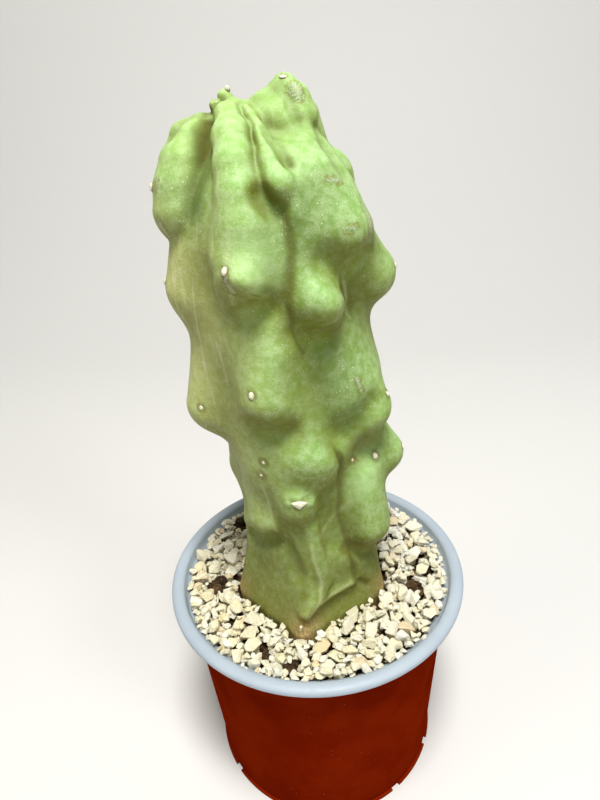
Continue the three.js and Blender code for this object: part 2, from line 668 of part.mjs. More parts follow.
// A crushed chip: a box with every corner knocked out of place, turned and tipped.
function chip(random, longest, x, y, height) {
  const wide = longest * pick(STONE_WIDTH, random);
  const thick = longest * pick(STONE_THICKNESS, random);
  const box = new THREE.BoxGeometry(longest, wide, thick);
  box.deleteAttribute('normal');
  box.deleteAttribute('uv');
  const geometry = mergeVertices(box);
  const position = geometry.attributes.position;
  for (let i = 0; i < position.count; i++) {
    const narrow = pick(CORNER_NARROWING, random);
    const lift = pick(CORNER_LIFT, random);
    position.setXYZ(i, position.getX(i) * narrow, position.getY(i) * narrow, position.getZ(i) * lift);
  }
  geometry.rotateX(radians(pick([-STONE_TIP, STONE_TIP], random)));
  geometry.rotateZ(2 * Math.PI * random());
  geometry.translate(x, y, height);
  return toSolid(geometry);
}

function inMixSpot(x, y, margin) {
  return MIX_SPOTS.some(([sx, sy, radius]) => Math.hypot(x - sx, y - sy) < radius + margin);
}

function pottingMix(socket) {
  const random = randomStream(11);
  const floor = FLOOR_RISE + SHELL_THICKNESS + LINER_THICKNESS;
  const pieces = [filling(floor + 3 * LAYER_GAP, MIX_TOP)];
  for (const [x, y, radius] of MIX_SPOTS) {
    const crumbs = [upright(radius, MIX_TOP - 3, SLAB_TOP, x, y, SPOT_SIDES)];
    for (let i = 0; i < CRUMBS_PER_SPOT; i++) {
      const angle = 2 * Math.PI * (i + random()) / CRUMBS_PER_SPOT;
      const size = radius * pick([0.7, 1], random);
      const [cx, cy] = [x + radius / 2 * Math.cos(angle), y + radius / 2 * Math.sin(angle)];
      crumbs.push(chip(random, size, cx, cy, SLAB_TOP));
    }
    pieces.push(joinAll(crumbs).intersect(upright(radius, 0, GRAVEL_LEVEL + 3, x, y, SPOT_SIDES)));
  }
  return joinAll(pieces).intersect(filling(0, WELL_ABOVE)).subtract(socket);
}

function gravelTop(socket) {
  const random = randomStream(7);
  const wallAt = SHOULDER_RADIUS;
  const stones = [filling(MIX_TOP + LAYER_GAP, SLAB_TOP)];
  const rows = Math.ceil(wallAt / STONE_ROW);
  for (let row = -rows; row <= rows; row++) {
    for (let step = -rows; step <= rows; step++) {
      const x = (step + (row % 2 ? 0.5 : 0)) * STONE_PITCH + pick([-1.3, 1.3], random);
      const y = row * STONE_ROW + pick([-1.3, 1.3], random);
      const longest = between(...STONE_LONGEST, random() ** 1.5);
      const stone = chip(random, longest, x, y, SLAB_TOP + longest * pick(STONE_SUNK, random));
      if (Math.hypot(x, y) > wallAt - 2.2) continue;
      if (stemDistance(x, y, GRAVEL_LEVEL - STEM_ZERO) < 1.6 || inMixSpot(x, y, 1)) continue;
      stones.push(stone);
    }
  }
  let gravel = joinAll(stones).intersect(filling(MIX_TOP, WELL_ABOVE)).subtract(socket);
  for (const [x, y, radius] of MIX_SPOTS) {
    gravel = gravel.subtract(upright(radius + 0.4, 0, WELL_ABOVE, x, y, SPOT_SIDES));
  }
  return gravel;
}

// ---------------------------------------------------------------- assembly

const socket = stemSolid(SOCKET_CLEARANCE);
const plant = new THREE.Group();
plant.add(namedMesh('pot_shell', potShell(), brickPlastic));
plant.add(namedMesh('pot_liner', potLiner(), greyPlastic));
plant.add(namedMesh('potting_mix', pottingMix(socket), darkMix));
plant.add(namedMesh('gravel_top', gravelTop(socket), paleStone));
plant.add(namedMesh('cactus_stem', cactusStem(), greenSkin));

export default plant;
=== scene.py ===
# %% [markdown]
# # A totem pole cactus in its nursery pot
#
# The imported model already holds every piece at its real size. This script gives the pieces
# their looks: the stem's skin is drawn again with fine sampling from the same rule that
# shaped the solid, the pot is spun with round edges, and the top dressing is laid stone by
# stone. Everything is in metres inside Blender, but the plant's own numbers are easier to
# read in millimetres, so a single factor turns one into the other.

# %% Load the frame
import math

import bmesh
import bpy
import numpy as np
from mathutils import Matrix, Vector


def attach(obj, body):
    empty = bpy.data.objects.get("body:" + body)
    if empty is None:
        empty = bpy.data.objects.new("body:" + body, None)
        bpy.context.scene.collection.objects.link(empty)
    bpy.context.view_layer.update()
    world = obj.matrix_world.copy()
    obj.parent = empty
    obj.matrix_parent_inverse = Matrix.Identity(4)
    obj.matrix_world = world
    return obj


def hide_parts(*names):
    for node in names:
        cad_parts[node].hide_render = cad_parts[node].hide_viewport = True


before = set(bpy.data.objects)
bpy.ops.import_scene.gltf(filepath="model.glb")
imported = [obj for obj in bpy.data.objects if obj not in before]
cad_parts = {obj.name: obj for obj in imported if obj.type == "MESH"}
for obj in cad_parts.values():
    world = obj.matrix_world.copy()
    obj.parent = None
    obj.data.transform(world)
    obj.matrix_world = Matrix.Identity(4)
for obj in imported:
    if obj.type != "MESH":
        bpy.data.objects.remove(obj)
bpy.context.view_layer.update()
MM = 0.001
GRAVEL_LEVEL = 101.0         # mm above the floor, the mean top of the stones
STEM_ZERO = 95.0             # mm above the floor; the stem's own heights count from here

# %% [markdown]
# ## The camera
#
# The view looks down on the pot from close by, so the rim opens into a wide ellipse and the
# stem's foot seems narrower than its crown. A short distance and a wide lens make that
# perspective together: neither one does it alone. The camera is slightly rolled, as one that
# is held by hand is.

# %% Camera
CAMERA_PLACE = Vector((7.4, -207.4, 300.6)) * MM
CAMERA_DOWN = 27.51          # degrees below the horizon
CAMERA_TURN = -2.56          # degrees away from straight ahead
CAMERA_ROLL = -4.14
FOCAL_LENGTH = 26.0          # mm
FILM_SIDE = 36.0             # mm


def place_in_scene(name, data):
    made = bpy.data.objects.new(name, data)
    bpy.context.scene.collection.objects.link(made)
    return made


def camera_matrix(place, down, turn, roll):
    down, turn, roll = (math.radians(angle) for angle in (down, turn, roll))
    forward = Vector((
        math.sin(turn) * math.cos(down), math.cos(turn) * math.cos(down), -math.sin(down)))
    level = Vector((math.cos(turn), -math.sin(turn), 0))
    upward = level.cross(forward)
    right = math.cos(roll) * level + math.sin(roll) * upward
    up = math.cos(roll) * upward - math.sin(roll) * level
    axes = Matrix((right, up, -forward)).transposed()
    return Matrix.Translation(place) @ axes.to_4x4()


camera_data = bpy.data.cameras.new("camera")
camera_data.lens = FOCAL_LENGTH
camera_data.sensor_width = FILM_SIDE
camera_data.clip_start = 0.01
camera = place_in_scene("camera", camera_data)
camera.matrix_world = camera_matrix(CAMERA_PLACE, CAMERA_DOWN, CAMERA_TURN, CAMERA_ROLL)
bpy.context.scene.camera = camera
print("camera at", [round(value, 4) for value in camera.location])

# %% [markdown]
# ## Making and keeping pieces
#
# Every piece ends the same way: its bmesh becomes a mesh, its object sits at the origin, it
# rides on the one body of this part, and it says which material slot it belongs to. Some
# also keep numbers on their points, which their material reads as an attribute.

# %% Piece helpers
def make_object(name, bm, material, smooth):
    mesh = bpy.data.meshes.new(name)
    bm.to_mesh(mesh)
    bm.free()
    mesh.polygons.foreach_set("use_smooth", [smooth] * len(mesh.polygons))
    mesh.materials.append(material)
    print(f"{name}: {len(mesh.polygons)} faces")
    return place_in_scene(name, mesh)


def make_piece(name, bm, material, smooth=True):
    piece = make_object(name, bm, material, smooth)
    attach(piece, "root")
    return piece


def keep_values(piece, name, values):
    attribute = piece.data.attributes.new(name, "FLOAT", "POINT")
    attribute.data.foreach_set("value", np.asarray(values, dtype=np.float32))


# %% [markdown]
# ## The stem as a distance
#
# A totem pole cactus is a ribbed column whose ribs have broken up into knobs. Its form is
# soft everywhere, with no edge that could be drawn as a profile, so it is described by a
# distance instead: the distance to a set of tapered limbs, blended where they meet. The
# core is one chain of limbs, each knob is a limb that swells down and out to a blunt tip,
# and the crown's folds are chains that run down from the growing point. The numbers are the
# same as in the solid's source. Heights are in millimetres above STEM_ZERO.

# %% Form: middle line, core and foot
MIDDLE_LINE = np.array([
    [-31, 0, 0], [39, 1, 0], [69, 0, 0], [99, -4, 0], [129, -7, 0],
    [159, -8, 0], [179, -10, 0], [194, -12.5, -1], [209, -14, -2],
])                            # height, x, y
CORE = [
    [-16, 18], [9, 22], [39, 24], [69, 26], [99, 28], [149, 28.5], [169, 25], [184, 15], [196, 4],
]                             # height, radius
FOOT_CORNERS = [[-166, 39], [-99, 41.5], [-25, 34.5], [46, 37], [114, 38]]   # azimuth, reach
FOOT_SCALE = np.array([
    [-25, 0.85], [-10, 0.97], [6, 1], [14, 0.94], [29, 0.85], [49, 0.79], [71, 0.7],
])                            # height, scale of the foot's outline
FOOT_BOTTOM = -26
FOOT_TOP = 69
CORE_BLEND = 10
print("core: from", CORE[0][0], "to", CORE[-1][0], "mm in height")

# %% Form: knobs
# Tip height, azimuth, reach and radius; rise and swing to where the knob starts; blend;
# the reach and radius where it starts.
KNOBS = [
    # the front rib
    [70, -98, 36.5, 6, 18, -3, 11, 30, 12],
    [114, -102, 39.5, 8, 24, 2, 13, 32, 15],
    [157, -104, 40.5, 8, 18, 9, 10, 32, 14],
    # the rib right of it, and the swell low down between them
    [48, -36, 37.5, 9.5, 24, 2, 4, 34, 11],
    [102, -30, 41.5, 10, 20, -8, 11, 33, 16],
    [147, -62, 39.5, 8, 16, 3, 10, 32, 12],
    [166, -36, 40, 11, 12, -6, 9, 34, 15],
    [90, -78, 34, 10, 18, -6, 11, 28, 12],
    # the right-hand rib
    [74, -7, 40.5, 9, 13, -2, 8, 33, 11],
    [149, -5, 43.5, 10.5, 15, -10, 9, 34, 12],
    [113, 2, 33, 10, 16, 0, 12, 30, 12],
    # the left-hand rib
    [57, -133, 33.5, 6, 20, 6, 8, 28, 11],
    [103, -165, 42.3, 11, 26, 0, 12, 33, 15],
    [149, -166, 39, 10, 20, 0, 12, 31, 14],
    [85, -122, 30.5, 9, 20, 4, 12, 28, 12],
    # the three ribs at the back
    [61, 50, 37, 8, 20, 0, 10, 31, 13],
    [101, 40, 40, 9, 22, 2, 12, 32, 15],
    [141, 46, 39.5, 9, 20, -2, 12, 31, 15],
    [49, 112, 36, 7, 20, 0, 9, 30, 13],
    [85, 104, 39.5, 9, 22, 2, 11, 31, 15],
    [125, 100, 40.5, 9, 22, -2, 12, 31, 15],
    [163, 98, 37.5, 10, 13, 4, 10, 29, 13],
    [67, 168, 35, 8, 20, -4, 10, 29, 13],
    [99, 146, 38, 9, 20, 4, 11, 29, 14],
    [137, 150, 40, 9, 20, -2, 12, 31, 15],
    [170, 158, 37, 10, 12, 2, 10, 28, 13],
]
print(len(KNOBS), "knobs")

# %% Form: crown folds
# A blend, then x, y, height and radius of each point of the fold's middle.
CROWN_FOLDS = {
    "front ridge": (3, [[-15.4, 1, 204.8, 1.9], [-18, -3, 202, 3.9], [-16.5, -12, 196, 5.9],
        [-15.4, -20.5, 189.2, 6.2], [-14.3, -25.5, 181, 6.8], [-14, -27.5, 172.7, 8],
        [-15.5, -27, 164, 9.5]]),
    "front tongue": (1.2, [[-12.2, -3, 203.4, 1.7], [-10.6, -6, 201, 2.1], [-7.1, -14, 195.6, 2.9],
        [-4.8, -21.5, 189.2, 4.4], [-3, -27, 182.7, 5]]),
    "skyline ridge": (3, [[-14, 1.5, 203.2, 2.2], [-7, 2.5, 205.8, 2.2], [0, 4, 209, 3.4]]),
    "peak shoulder": (4, [[0, 4.5, 208, 3.6], [2, 1, 199, 6], [5, -4, 187, 9], [9, -11, 176, 11.5],
        [11, -16, 167, 14]]),
    "web under the skyline": (4, [[-12, 0.5, 199.5, 3.5], [-4, 0.5, 199, 6], [1, 1, 199, 7]]),
    "peak lobe": (2, [[0.6, 3, 209.4, 3.4], [3.2, 1.8, 205.5, 4.8], [5, 1, 200.5, 5.5]]),
    "back of the peak": (3, [[2.8, 11, 199.2, 8.6], [4, 12, 190, 10]]),
    "right-hand lobe": (3, [[11.5, 8, 180, 10.8], [12, 8, 169, 12]]),
    "left-hand lobe": (1.6, [[-20, 2, 201, 3], [-28, 2, 199.2, 4.6], [-31, 0, 195.5, 7.4],
        [-32.3, -3, 188.5, 9.9], [-33.8, -5, 181, 11.2], [-33.8, -6, 175, 12.5]]),
    "left lobe behind": (2, [[-32, 11, 192, 10], [-34, 12, 181, 13]]),
    "first bud": (1.2, [[-19.3, 3, 207.6, 2.3], [-17, 2, 204, 3]]),
    "second bud": (1.2, [[-22.5, 1.5, 204.8, 2.3], [-19, 1, 200, 4]]),
    "back ridge": (3, [[-13, 8, 199, 3.5], [-8, 20, 190, 8], [-7, 25, 177, 11]]),
    "second back ridge": (3, [[-19, 8, 199, 3.5], [-22, 19, 190, 7], [-23, 24, 177, 10]]),
}
print(len(CROWN_FOLDS), "folds in the crown")

# %% Form: strokes along the skin
# Narrow creases and ridges: a depth, negative where it is a ridge, a width, and x, y, height
# points.
STROKES = {
    "under the tongue": (3.5, 3, [[-7.5, -31, 181], [-5.5, -31, 178.5], [-3, -31, 176.5]]),
    "tongue and web": (2, 1.8, [[-5.5, -14.5, 198.5], [-4, -18, 195.5], [-1.5, -23, 192],
        [0.5, -25, 188.5]]),
    "tongue to flank": (-2, 4, [[1, -29.5, 185], [1.5, -29, 180.5], [1.5, -30, 176.5]]),
    "peak lobe": (1.5, 1.6, [[1.5, -3, 207.5], [2, -5.5, 203.5], [4, -7, 199.5]]),
    "right-hand lobe": (1.5, 2, [[10.5, -3.5, 196.5], [12.5, -11.5, 191.5], [15.5, -17, 187],
        [17.5, -18, 184]]),
    "left lobe behind": (1.8, 2.2, [[-38, -5, 197], [-35, -4, 200.5], [-30, 0.5, 203.5],
        [-26, 0.5, 203.5]]),
    "under the right flank": (3.5, 5, [[12.5, -30.5, 160.5], [17.5, -26.5, 156.5],
        [23.5, -21, 159]]),
    "right flank and right knob": (2.5, 2.6, [[24.5, -20, 159], [19.5, -23, 155],
        [16.5, -24, 149.5], [17.5, -19, 141.5]]),
    "under the first knob": (5, 4.5, [[-18.5, -38.5, 153.5], [-15, -36, 148.5], [-10, -35, 147.5]]),
    "first knob": (-3, 5, [[-15.5, -39.5, 158]]),
    "second right knob": (-1.8, 5.5, [[7.5, -35, 151.5], [11.5, -34.5, 148]]),
    "under the second right knob": (4, 5, [[3.5, -33, 138.5], [8, -29.5, 134.5]]),
    "middle valley": (2, 5, [[3.5, -31, 127.5], [5, -30.5, 117.5], [6.5, -31, 106],
        [12.5, -29.5, 93]]),
    "under the third right knob": (5, 5, [[14.5, -27.5, 97], [20.5, -26.5, 100],
        [26.5, -24.5, 105.5]]),
    "second knob": (-1.5, 6, [[-8, -35, 131], [-12.5, -37.5, 120.5]]),
    "under the second knob": (3.2, 4.5, [[-16, -34.5, 106.5], [-11, -34, 101.5],
        [-5.5, -34.5, 101.5]]),
    "low front swell": (-1.6, 8, [[-1, -35, 91], [6, -34.5, 87.5]]),
    "shelf": (5, 3.2, [[-26.5, -13, 39.5], [-19, -21, 44.5], [-12.5, -26.5, 47.5]]),
    "shelf swell": (-2, 4.5, [[-26.5, -12, 47], [-16, -27.5, 57]]),
    "left of the front rib": (2.6, 3, [[-10.5, -28, 47], [-8.5, -29.5, 42.5], [-7, -32, 34]]),
    "front ridge of the foot": (-4.5, 2.6, [[0, -30, 56.5], [1, -30, 47], [3, -30, 34.5],
        [4, -30, 27], [2, -32, 21], [-4, -36.5, 16.5]]),
    "pale edge of the foot": (-1.7, 2, [[18, -22, 19.5], [9, -28, 19.5], [2, -32, 18.5]]),
    "low front facet": (1.7, 7, [[17.5, -23.5, 13], [8, -30, 12], [1.5, -34.5, 11.5]]),
    "under the low right lobe": (3.5, 2.4, [[14.5, -24.5, 40], [22, -19, 32], [30, -9.5, 26]]),
    "crack": (2, 1.4, [[11.5, -30, 97.5], [13, -26, 78.5], [12, -26, 69.5], [11, -26, 58.5],
        [13, -25, 49.5], [14, -25, 44], [16.5, -23.5, 37], [17, -22.5, 26.5], [18, -22, 20],
        [23, -19, 14]]),
    "left of the crack": (2.5, 4.5, [[8, -28.5, 70], [8, -27.5, 58], [9, -27, 45]]),
    "central seam": (1.3, 1.3, [[-1.5, -31, 174.5], [-0.5, -31.5, 170.5], [0.5, -32, 164.5],
        [-1, -33.5, 156.5], [-3, -34.5, 149.5], [-1, -34, 141], [3, -31, 130]]),
    "lip over the low areole": (-2.2, 2, [[-7, -35.5, 74], [-3.5, -35.5, 75], [0.5, -34.5, 72.5]]),
}
SEAMS = ["central seam", "crack"]
print(len(STROKES), "strokes")


# %% Limbs
def middle(height):
    x = np.interp(height, MIDDLE_LINE[:, 0], MIDDLE_LINE[:, 1])
    y = np.interp(height, MIDDLE_LINE[:, 0], MIDDLE_LINE[:, 2])
    return x, y


def around_middle(azimuth, height, reach):
    x, y = middle(height)
    angle = math.radians(azimuth)
    return np.array([x + reach * math.cos(angle), y + reach * math.sin(angle), height])


def stem_limbs():
    """Every limb of the stem: two ends, the radius at each, and how softly it blends."""
    limbs = []
    for (h0, r0), (h1, r1) in zip(CORE, CORE[1:]):
        limbs.append((around_middle(0, h0, 0), around_middle(0, h1, 0), r0, r1, CORE_BLEND))
    for height, azimuth, reach, radius, rise, swing, blend, start_reach, start_radius in KNOBS:
        tip = around_middle(azimuth, height, reach - radius)
        start = around_middle(azimuth + swing, height + rise, start_reach - start_radius)
        limbs.append((tip, start, radius, start_radius, blend))
    for blend, path in CROWN_FOLDS.values():
        for (*start, r0), (*end, r1) in zip(path, path[1:]):
            limbs.append((np.array(start), np.array(end), r0, r1, blend))
    return limbs


LIMBS = stem_limbs()
print(len(LIMBS), "limbs in the stem")


# %% The distance itself
def smooth_min(a, b, blend):
    """The lesser of two distances, rounded where they meet."""
    h = np.maximum(blend - np.abs(a - b), 0) / blend
    return np.minimum(a, b) - h * h * blend / 4


def smooth_max(a, b, blend):
    return -smooth_min(-a, -b, blend)


FOOT_CORNER_BLEND = 5
FOOT_TOP_BLEND = 10
FOOT_BOTTOM_BLEND = 8


def foot_distance(points):
    height = points[:, 2]
    scale = np.interp(height, FOOT_SCALE[:, 0], FOOT_SCALE[:, 1])
    middle_x, middle_y = middle(height)
    u = (points[:, 0] - middle_x) / scale
    v = (points[:, 1] - middle_y) / scale
    corners = [(reach * math.cos(math.radians(azimuth)), reach * math.sin(math.radians(azimuth)))
               for azimuth, reach in FOOT_CORNERS]
    distance = None
    for (x0, y0), (x1, y1) in zip(corners, corners[1:] + corners[:1]):
        side = ((u - x0) * (y1 - y0) - (v - y0) * (x1 - x0)) / math.hypot(x1 - x0, y1 - y0)
        distance = side if distance is None else smooth_max(distance, side, FOOT_CORNER_BLEND)
    distance = smooth_max(distance * scale, height - FOOT_TOP, FOOT_TOP_BLEND)
    return smooth_max(distance, FOOT_BOTTOM - height, FOOT_BOTTOM_BLEND)


FAR_AWAY = 1e9
NO_LENGTH = 1e-9


def from_line(points, start, end):
    """How far along a line from 0 to 1 each point lies, and its offset from there."""
    line = end - start
    along = np.clip((points - start) @ line / max(line @ line, NO_LENGTH), 0, 1)
    return along, points - start - along[:, None] * line


def lines_of(path):
    """The path's lines, or one line of no length where it is a single point."""
    path = np.array(path, float)
    return zip(path, path[1:] if len(path) > 1 else path)


def stroke_gap(points, path):
    """Distance from each point to a path through x, y, height points."""
    nearest = np.full(len(points), FAR_AWAY)
    for start, end in lines_of(path):
        _, offset = from_line(points, start, end)
        nearest = np.minimum(nearest, np.linalg.norm(offset, axis=1))
    return nearest


def stem_distance(points):
    distance = foot_distance(points)
    for start, end, start_radius, end_radius, blend in LIMBS:
        along, offset = from_line(points, start, end)
        radius = start_radius + (end_radius - start_radius) * along
        distance = smooth_min(distance, np.linalg.norm(offset, axis=1) - radius, blend)
    for depth, width, path in STROKES.values():
        distance += depth * np.exp(-(stroke_gap(points, path) / width) ** 2)
    return distance


core_middle = np.array([around_middle(0, 100, 0)])
print("flesh over the middle line, 100 up:", round(-float(stem_distance(core_middle)[0]), 1), "mm")

# %% [markdown]
# ## From distance to skin
#
# A sphere's vertices are lined up in rows and columns, which is what a skin needs. Each
# vertex is sent along a ray that leaves the stem's middle line, and stays where the ray
# meets the flesh from outside. The rays dip a little on the side, so that they see the
# undersides of the knobs, and fan upwards over the crown. Where one ray passes a fold and
# the next one hits it, the skin is stretched between them, so it is eased there.

# %% Skin rays
RAY_LOW = -21                # heights between which the rays' feet climb the middle line
RAY_HIGH = 187
BOTTOM_SHARE = 0.03          # share of the rows that fans out below
SIDE_SHARE = 0.66            # and the share at which the fan over the crown begins
SIDE_TILT = -20              # degrees
RAY_REACH = 64
MARCH_STEP = 2.0
HALVINGS = 7
STEM_COLUMNS = 300
STEM_ROWS = 320


def ray_rows(t):
    """The height where each ray starts, and its tilt in degrees."""
    side = np.clip((t - BOTTOM_SHARE) / (SIDE_SHARE - BOTTOM_SHARE), 0, 1)
    height = RAY_LOW + (RAY_HIGH - RAY_LOW) * side
    below = -90 + (90 + SIDE_TILT) * (t / BOTTOM_SHARE)
    dipping = SIDE_TILT * (1 - side ** 3)
    over = 90 * (t - SIDE_SHARE) / (1 - SIDE_SHARE)
    return height, np.where(t < BOTTOM_SHARE, below, np.where(t < SIDE_SHARE, dipping, over))


def skin_points(t, azimuth):
    """Where the rays meet the flesh; t climbs from 0 at the root end to 1 at the crown."""
    height, tilt = ray_rows(t)
    tilt = np.radians(tilt)
    origin = np.column_stack([*middle(height), height])
    ray = np.column_stack([
        np.cos(tilt) * np.cos(azimuth), np.cos(tilt) * np.sin(azimuth), np.sin(tilt)])
    far = np.full(len(t), float(RAY_REACH))
    marching = np.arange(len(t))
    while len(marching):
        ahead = origin[marching] + (far[marching] - MARCH_STEP)[:, None] * ray[marching]
        clear = stem_distance(ahead) > 0
        far[marching[clear]] -= MARCH_STEP
        marching = marching[clear & (far[marching] > MARCH_STEP)]
    near = far - MARCH_STEP
    for _ in range(HALVINGS):
        half = (near + far) / 2
        clear = stem_distance(origin + half[:, None] * ray) > 0
        far = np.where(clear, half, far)
        near = np.where(clear, near, half)
    return origin + near[:, None] * ray


print("skin rows and columns:", STEM_ROWS, STEM_COLUMNS)

# %% The skin's mesh
STRETCHED = 2.2 * 300 / STEM_COLUMNS      # mm; a longer edge marks a step between folds
EASINGS = 8
bm = bmesh.new()
bmesh.ops.create_uvsphere(bm, u_segments=STEM_COLUMNS, v_segments=STEM_ROWS, radius=1)
ball = np.array([vertex.co for vertex in bm.verts])
stem_mm = skin_points(
    1 - np.arccos(np.clip(ball[:, 2], -1, 1)) / math.pi,
    np.arctan2(ball[:, 1], ball[:, 0]),
)
for vertex, place in zip(bm.verts, stem_mm):
    vertex.co = (place[0] * MM, place[1] * MM, (place[2] + STEM_ZERO) * MM)
steps = [vertex for vertex in bm.verts
         if max(edge.calc_length() for edge in vertex.link_edges) > STRETCHED * MM]
for _ in range(EASINGS):
    bmesh.ops.smooth_vert(
        bm, verts=steps, factor=0.5, use_axis_x=True, use_axis_y=True, use_axis_z=True)
stem_mm = np.array([vertex.co for vertex in bm.verts]) / MM - (0, 0, STEM_ZERO)
bm.normal_update()
stem_normals = np.array([vertex.normal for vertex in bm.verts])
stem_bmesh = bm
print("skin points:", len(stem_mm), " eased:", len(steps))

# %% [markdown]
# ## What the skin remembers, and the light and shade painted on it
#
# The real skin isn't one green. It is bright and yellowish where it is young, near the
# growing point, corky at the foot, and brown round the felt cushions and along the seams.
# Shade is painted on it too, as dark olive in the hollows, under the knobs, towards the foot
# and in a few patches, and light as pale mint on the faces turned up and in two patches.
# Each of these is a value kept on the skin's points, which the material then reads. A hollow
# is found with the distance again: a point a little way out from the skin is closer to other
# flesh than it should be.

# %% Where the areoles sit
# Azimuth, height and radius of each felt cushion; the first fourteen face the front.
AREOLES = [
    [-107, 161.5, 1.5], [-105, 119.5, 1.4], [-95, 72.6, 1.0], [-6, 151.5, 1.2], [-25, 107, 1],
    [-112, 89, 0.7], [-116, 83, 0.6], [-49, 82, 0.6], [-31, 80, 1.4], [-151, 106, 1],
    [-167, 183, 1.6], [-101, 10, 0.8], [-166, 152, 1.4], [-7, 76, 1.2], [50, 64, 1.4],
    [40, 104, 1.5], [46, 144, 1.4], [112, 52, 1.3], [104, 88, 1.5], [100, 128, 1.5],
    [98, 166, 1.3], [168, 70, 1.4], [146, 102, 1.4], [150, 140, 1.5], [158, 173, 1.3],
]


def on_skin(azimuth, height):
    """The skin's place and outward direction, level with a height, at an azimuth in degrees."""
    x, y = middle(height)
    ray = np.array([math.cos(math.radians(azimuth)), math.sin(math.radians(azimuth)), 0.0])
    origin = np.array([x, y, height])
    reaches = np.arange(RAY_REACH, 5, -0.2)
    outside = stem_distance(origin + reaches[:, None] * ray) > 0
    place = origin + reaches[np.argmin(outside)] * ray
    steps = np.eye(3) * 0.5
    slope = stem_distance(place + steps) - stem_distance(place - steps)
    return place, slope / np.linalg.norm(slope)


areole_seats = [on_skin(azimuth, height) for azimuth, height, _ in AREOLES]
print(len(areole_seats), "areoles")

# %% Where the marks run
# Half width in mm, then x, y, height points. First the corky scabs.
SCABS = [
    (2, [[3, -1, 208.2], [4.6, -3, 206.2]]), (1.4, [[0.1, 0.8, 212.4]]),
    (1.1, [[12.5, -24, 183.6], [16, -21, 182.8]]),
    (1.9, [[23.6, -19.6, 174.3], [25.2, -21.5, 168.2]]),
    (1, [[16.7, -29.3, 169.1], [20.5, -27, 170.1]]),
    (1.3, [[-19.2, -38, 159.8], [-18.3, -35.8, 154.5]]),
    (1, [[-41.8, -12, 185.5], [-42.5, -12.4, 183.1]]),
    (1.3, [[-42, -14, 173], [-40.9, -13.8, 168.2]]),
    (0.9, [[18.9, -21.3, 80.9]]), (0.9, [[27.8, -16.5, 79.1]]),
    (1.1, [[19.7, -24.7, 117.4], [21.3, -25.1, 112.5]]),
    (1.3, [[-7, -38.1, 8.4]]), (1.2, [[30, 22, 150]]), (1.6, [[-24, 27, 126], [-27, 25, 119]]),
]
# Thin worn lines along ridges and old scratches.
PALE_LINES = [
    (1.1, [[0, -32, 50], [0.5, -32.4, 42], [3, -32, 30], [2, -34, 21], [-4, -38, 14]]),
    (1, [[18, -24, 21], [9, -29.5, 20.5], [2, -34, 19.5]]),
    (0.9, [[-17.3, -29.3, 76.5], [-14.9, -29, 60.4], [-12.1, -27, 46]]),
    (0.8, [[-27.1, -12, 57.5], [-25, -21, 52], [-29.6, -8, 38.5]]),
    (0.9, [[16.7, -24.8, 65.1], [7.7, -26, 56], [4, -29, 50]]),
    (1, [[-16.5, -32, 172], [-18, -35, 160], [-19.5, -33, 150]]),
    (1.1, [[-19.5, -8, 203], [-20.8, -22.2, 193.4], [-19.9, -27.6, 186.8], [-20.4, -30.9, 179.4]]),
    (1, [[-20.4, -30.9, 179.4], [-23.3, -29.7, 172.5], [-22, -31, 165]]),
    (1, [[16, -21.7, 151.8], [17, -18, 144.8], [17.8, -18.2, 138.1]]),
    (0.8, [[-11.8, -40.3, 157.9], [-9, -37.1, 158.4], [-6.6, -34.9, 158.8]]),
    (0.9, [[-38.1, -17.2, 158.6], [-37.6, -18.2, 154.1], [-37.4, -19, 145.6]]),
    (0.9, [[-27.7, -25.4, 134.5], [-26.1, -25.8, 124.9], [-25.9, -25.2, 119.2]]),
]
# Painted shadow in the hollow beside the crown's ridge; patches of painted shade where the dust
# shows more; and patches of painted light.
RIDGE_SHADOW_PATCHES = [(6.5, [[-25.8, -6.6, 195.8], [-24.6, -15.2, 187.7], [-29, -19, 178]])]
SHADE_AND_DUST_PATCHES = [
    # painted shade, where the dust also shows more
    (14, [[9.6, -27.6, 178.5], [3.2, -30.9, 170.8]]),
    (13, [[17.3, -25, 121.2], [16.8, -26.3, 106.2]]),
    (12, [[-33, -14, 182], [-31.1, -17.5, 176]]),
]
LIT_PATCHES = [
    # painted light
    (11, [[-7.9, -35.7, 160.7], [-11, -36, 167]]), (9, [[24.4, -19, 79.6], [20, -22, 70]]),
]
# The thin lip over the low front areole.
LID = [[-6.8, -36.6, 75.2], [-3.3, -37, 75.9], [0.2, -36.2, 75.2]]
SEAM_LINES = [(1, STROKES[name][2]) for name in SEAMS] + [(0.9, LID)]
print("scabs:", len(SCABS), " pale lines:", len(PALE_LINES), " seams:", len(SEAM_LINES))


# %% Measuring on the skin
MARK_DEPTH = 5               # mm; a mark that is deeper than this under a point isn't on it


def beside(path):
    """How far each skin point lies from a path, measured along the skin and not into it."""
    best = np.full(len(stem_mm), FAR_AWAY)
    for start, end in lines_of(path):
        _, offset = from_line(stem_mm, start, end)
        depth = np.einsum("ij,ij->i", offset, stem_normals)
        sideways = np.linalg.norm(offset - depth[:, None] * stem_normals, axis=1)
        best = np.where(np.abs(depth) < MARK_DEPTH, np.minimum(best, sideways), best)
    return best


def marked(table, edge):
    """1 inside the marks of a table of (half width, path) rows, falling to 0 over an edge."""
    return np.max([np.clip((width - beside(path)) / edge, 0, 1) for width, path in table], axis=0)


def crowded(reach, fade):
    """0 on open skin, and 1 where a point that far out is deep in other flesh."""
    return np.clip((reach - stem_distance(stem_mm + reach * stem_normals)) / fade, 0, 1)


wide_hollow = crowded(reach=12.0, fade=9.0)
scab = marked(SCABS, 1.0)
print("points in wide hollows:", int((wide_hollow > 0.5).sum()))

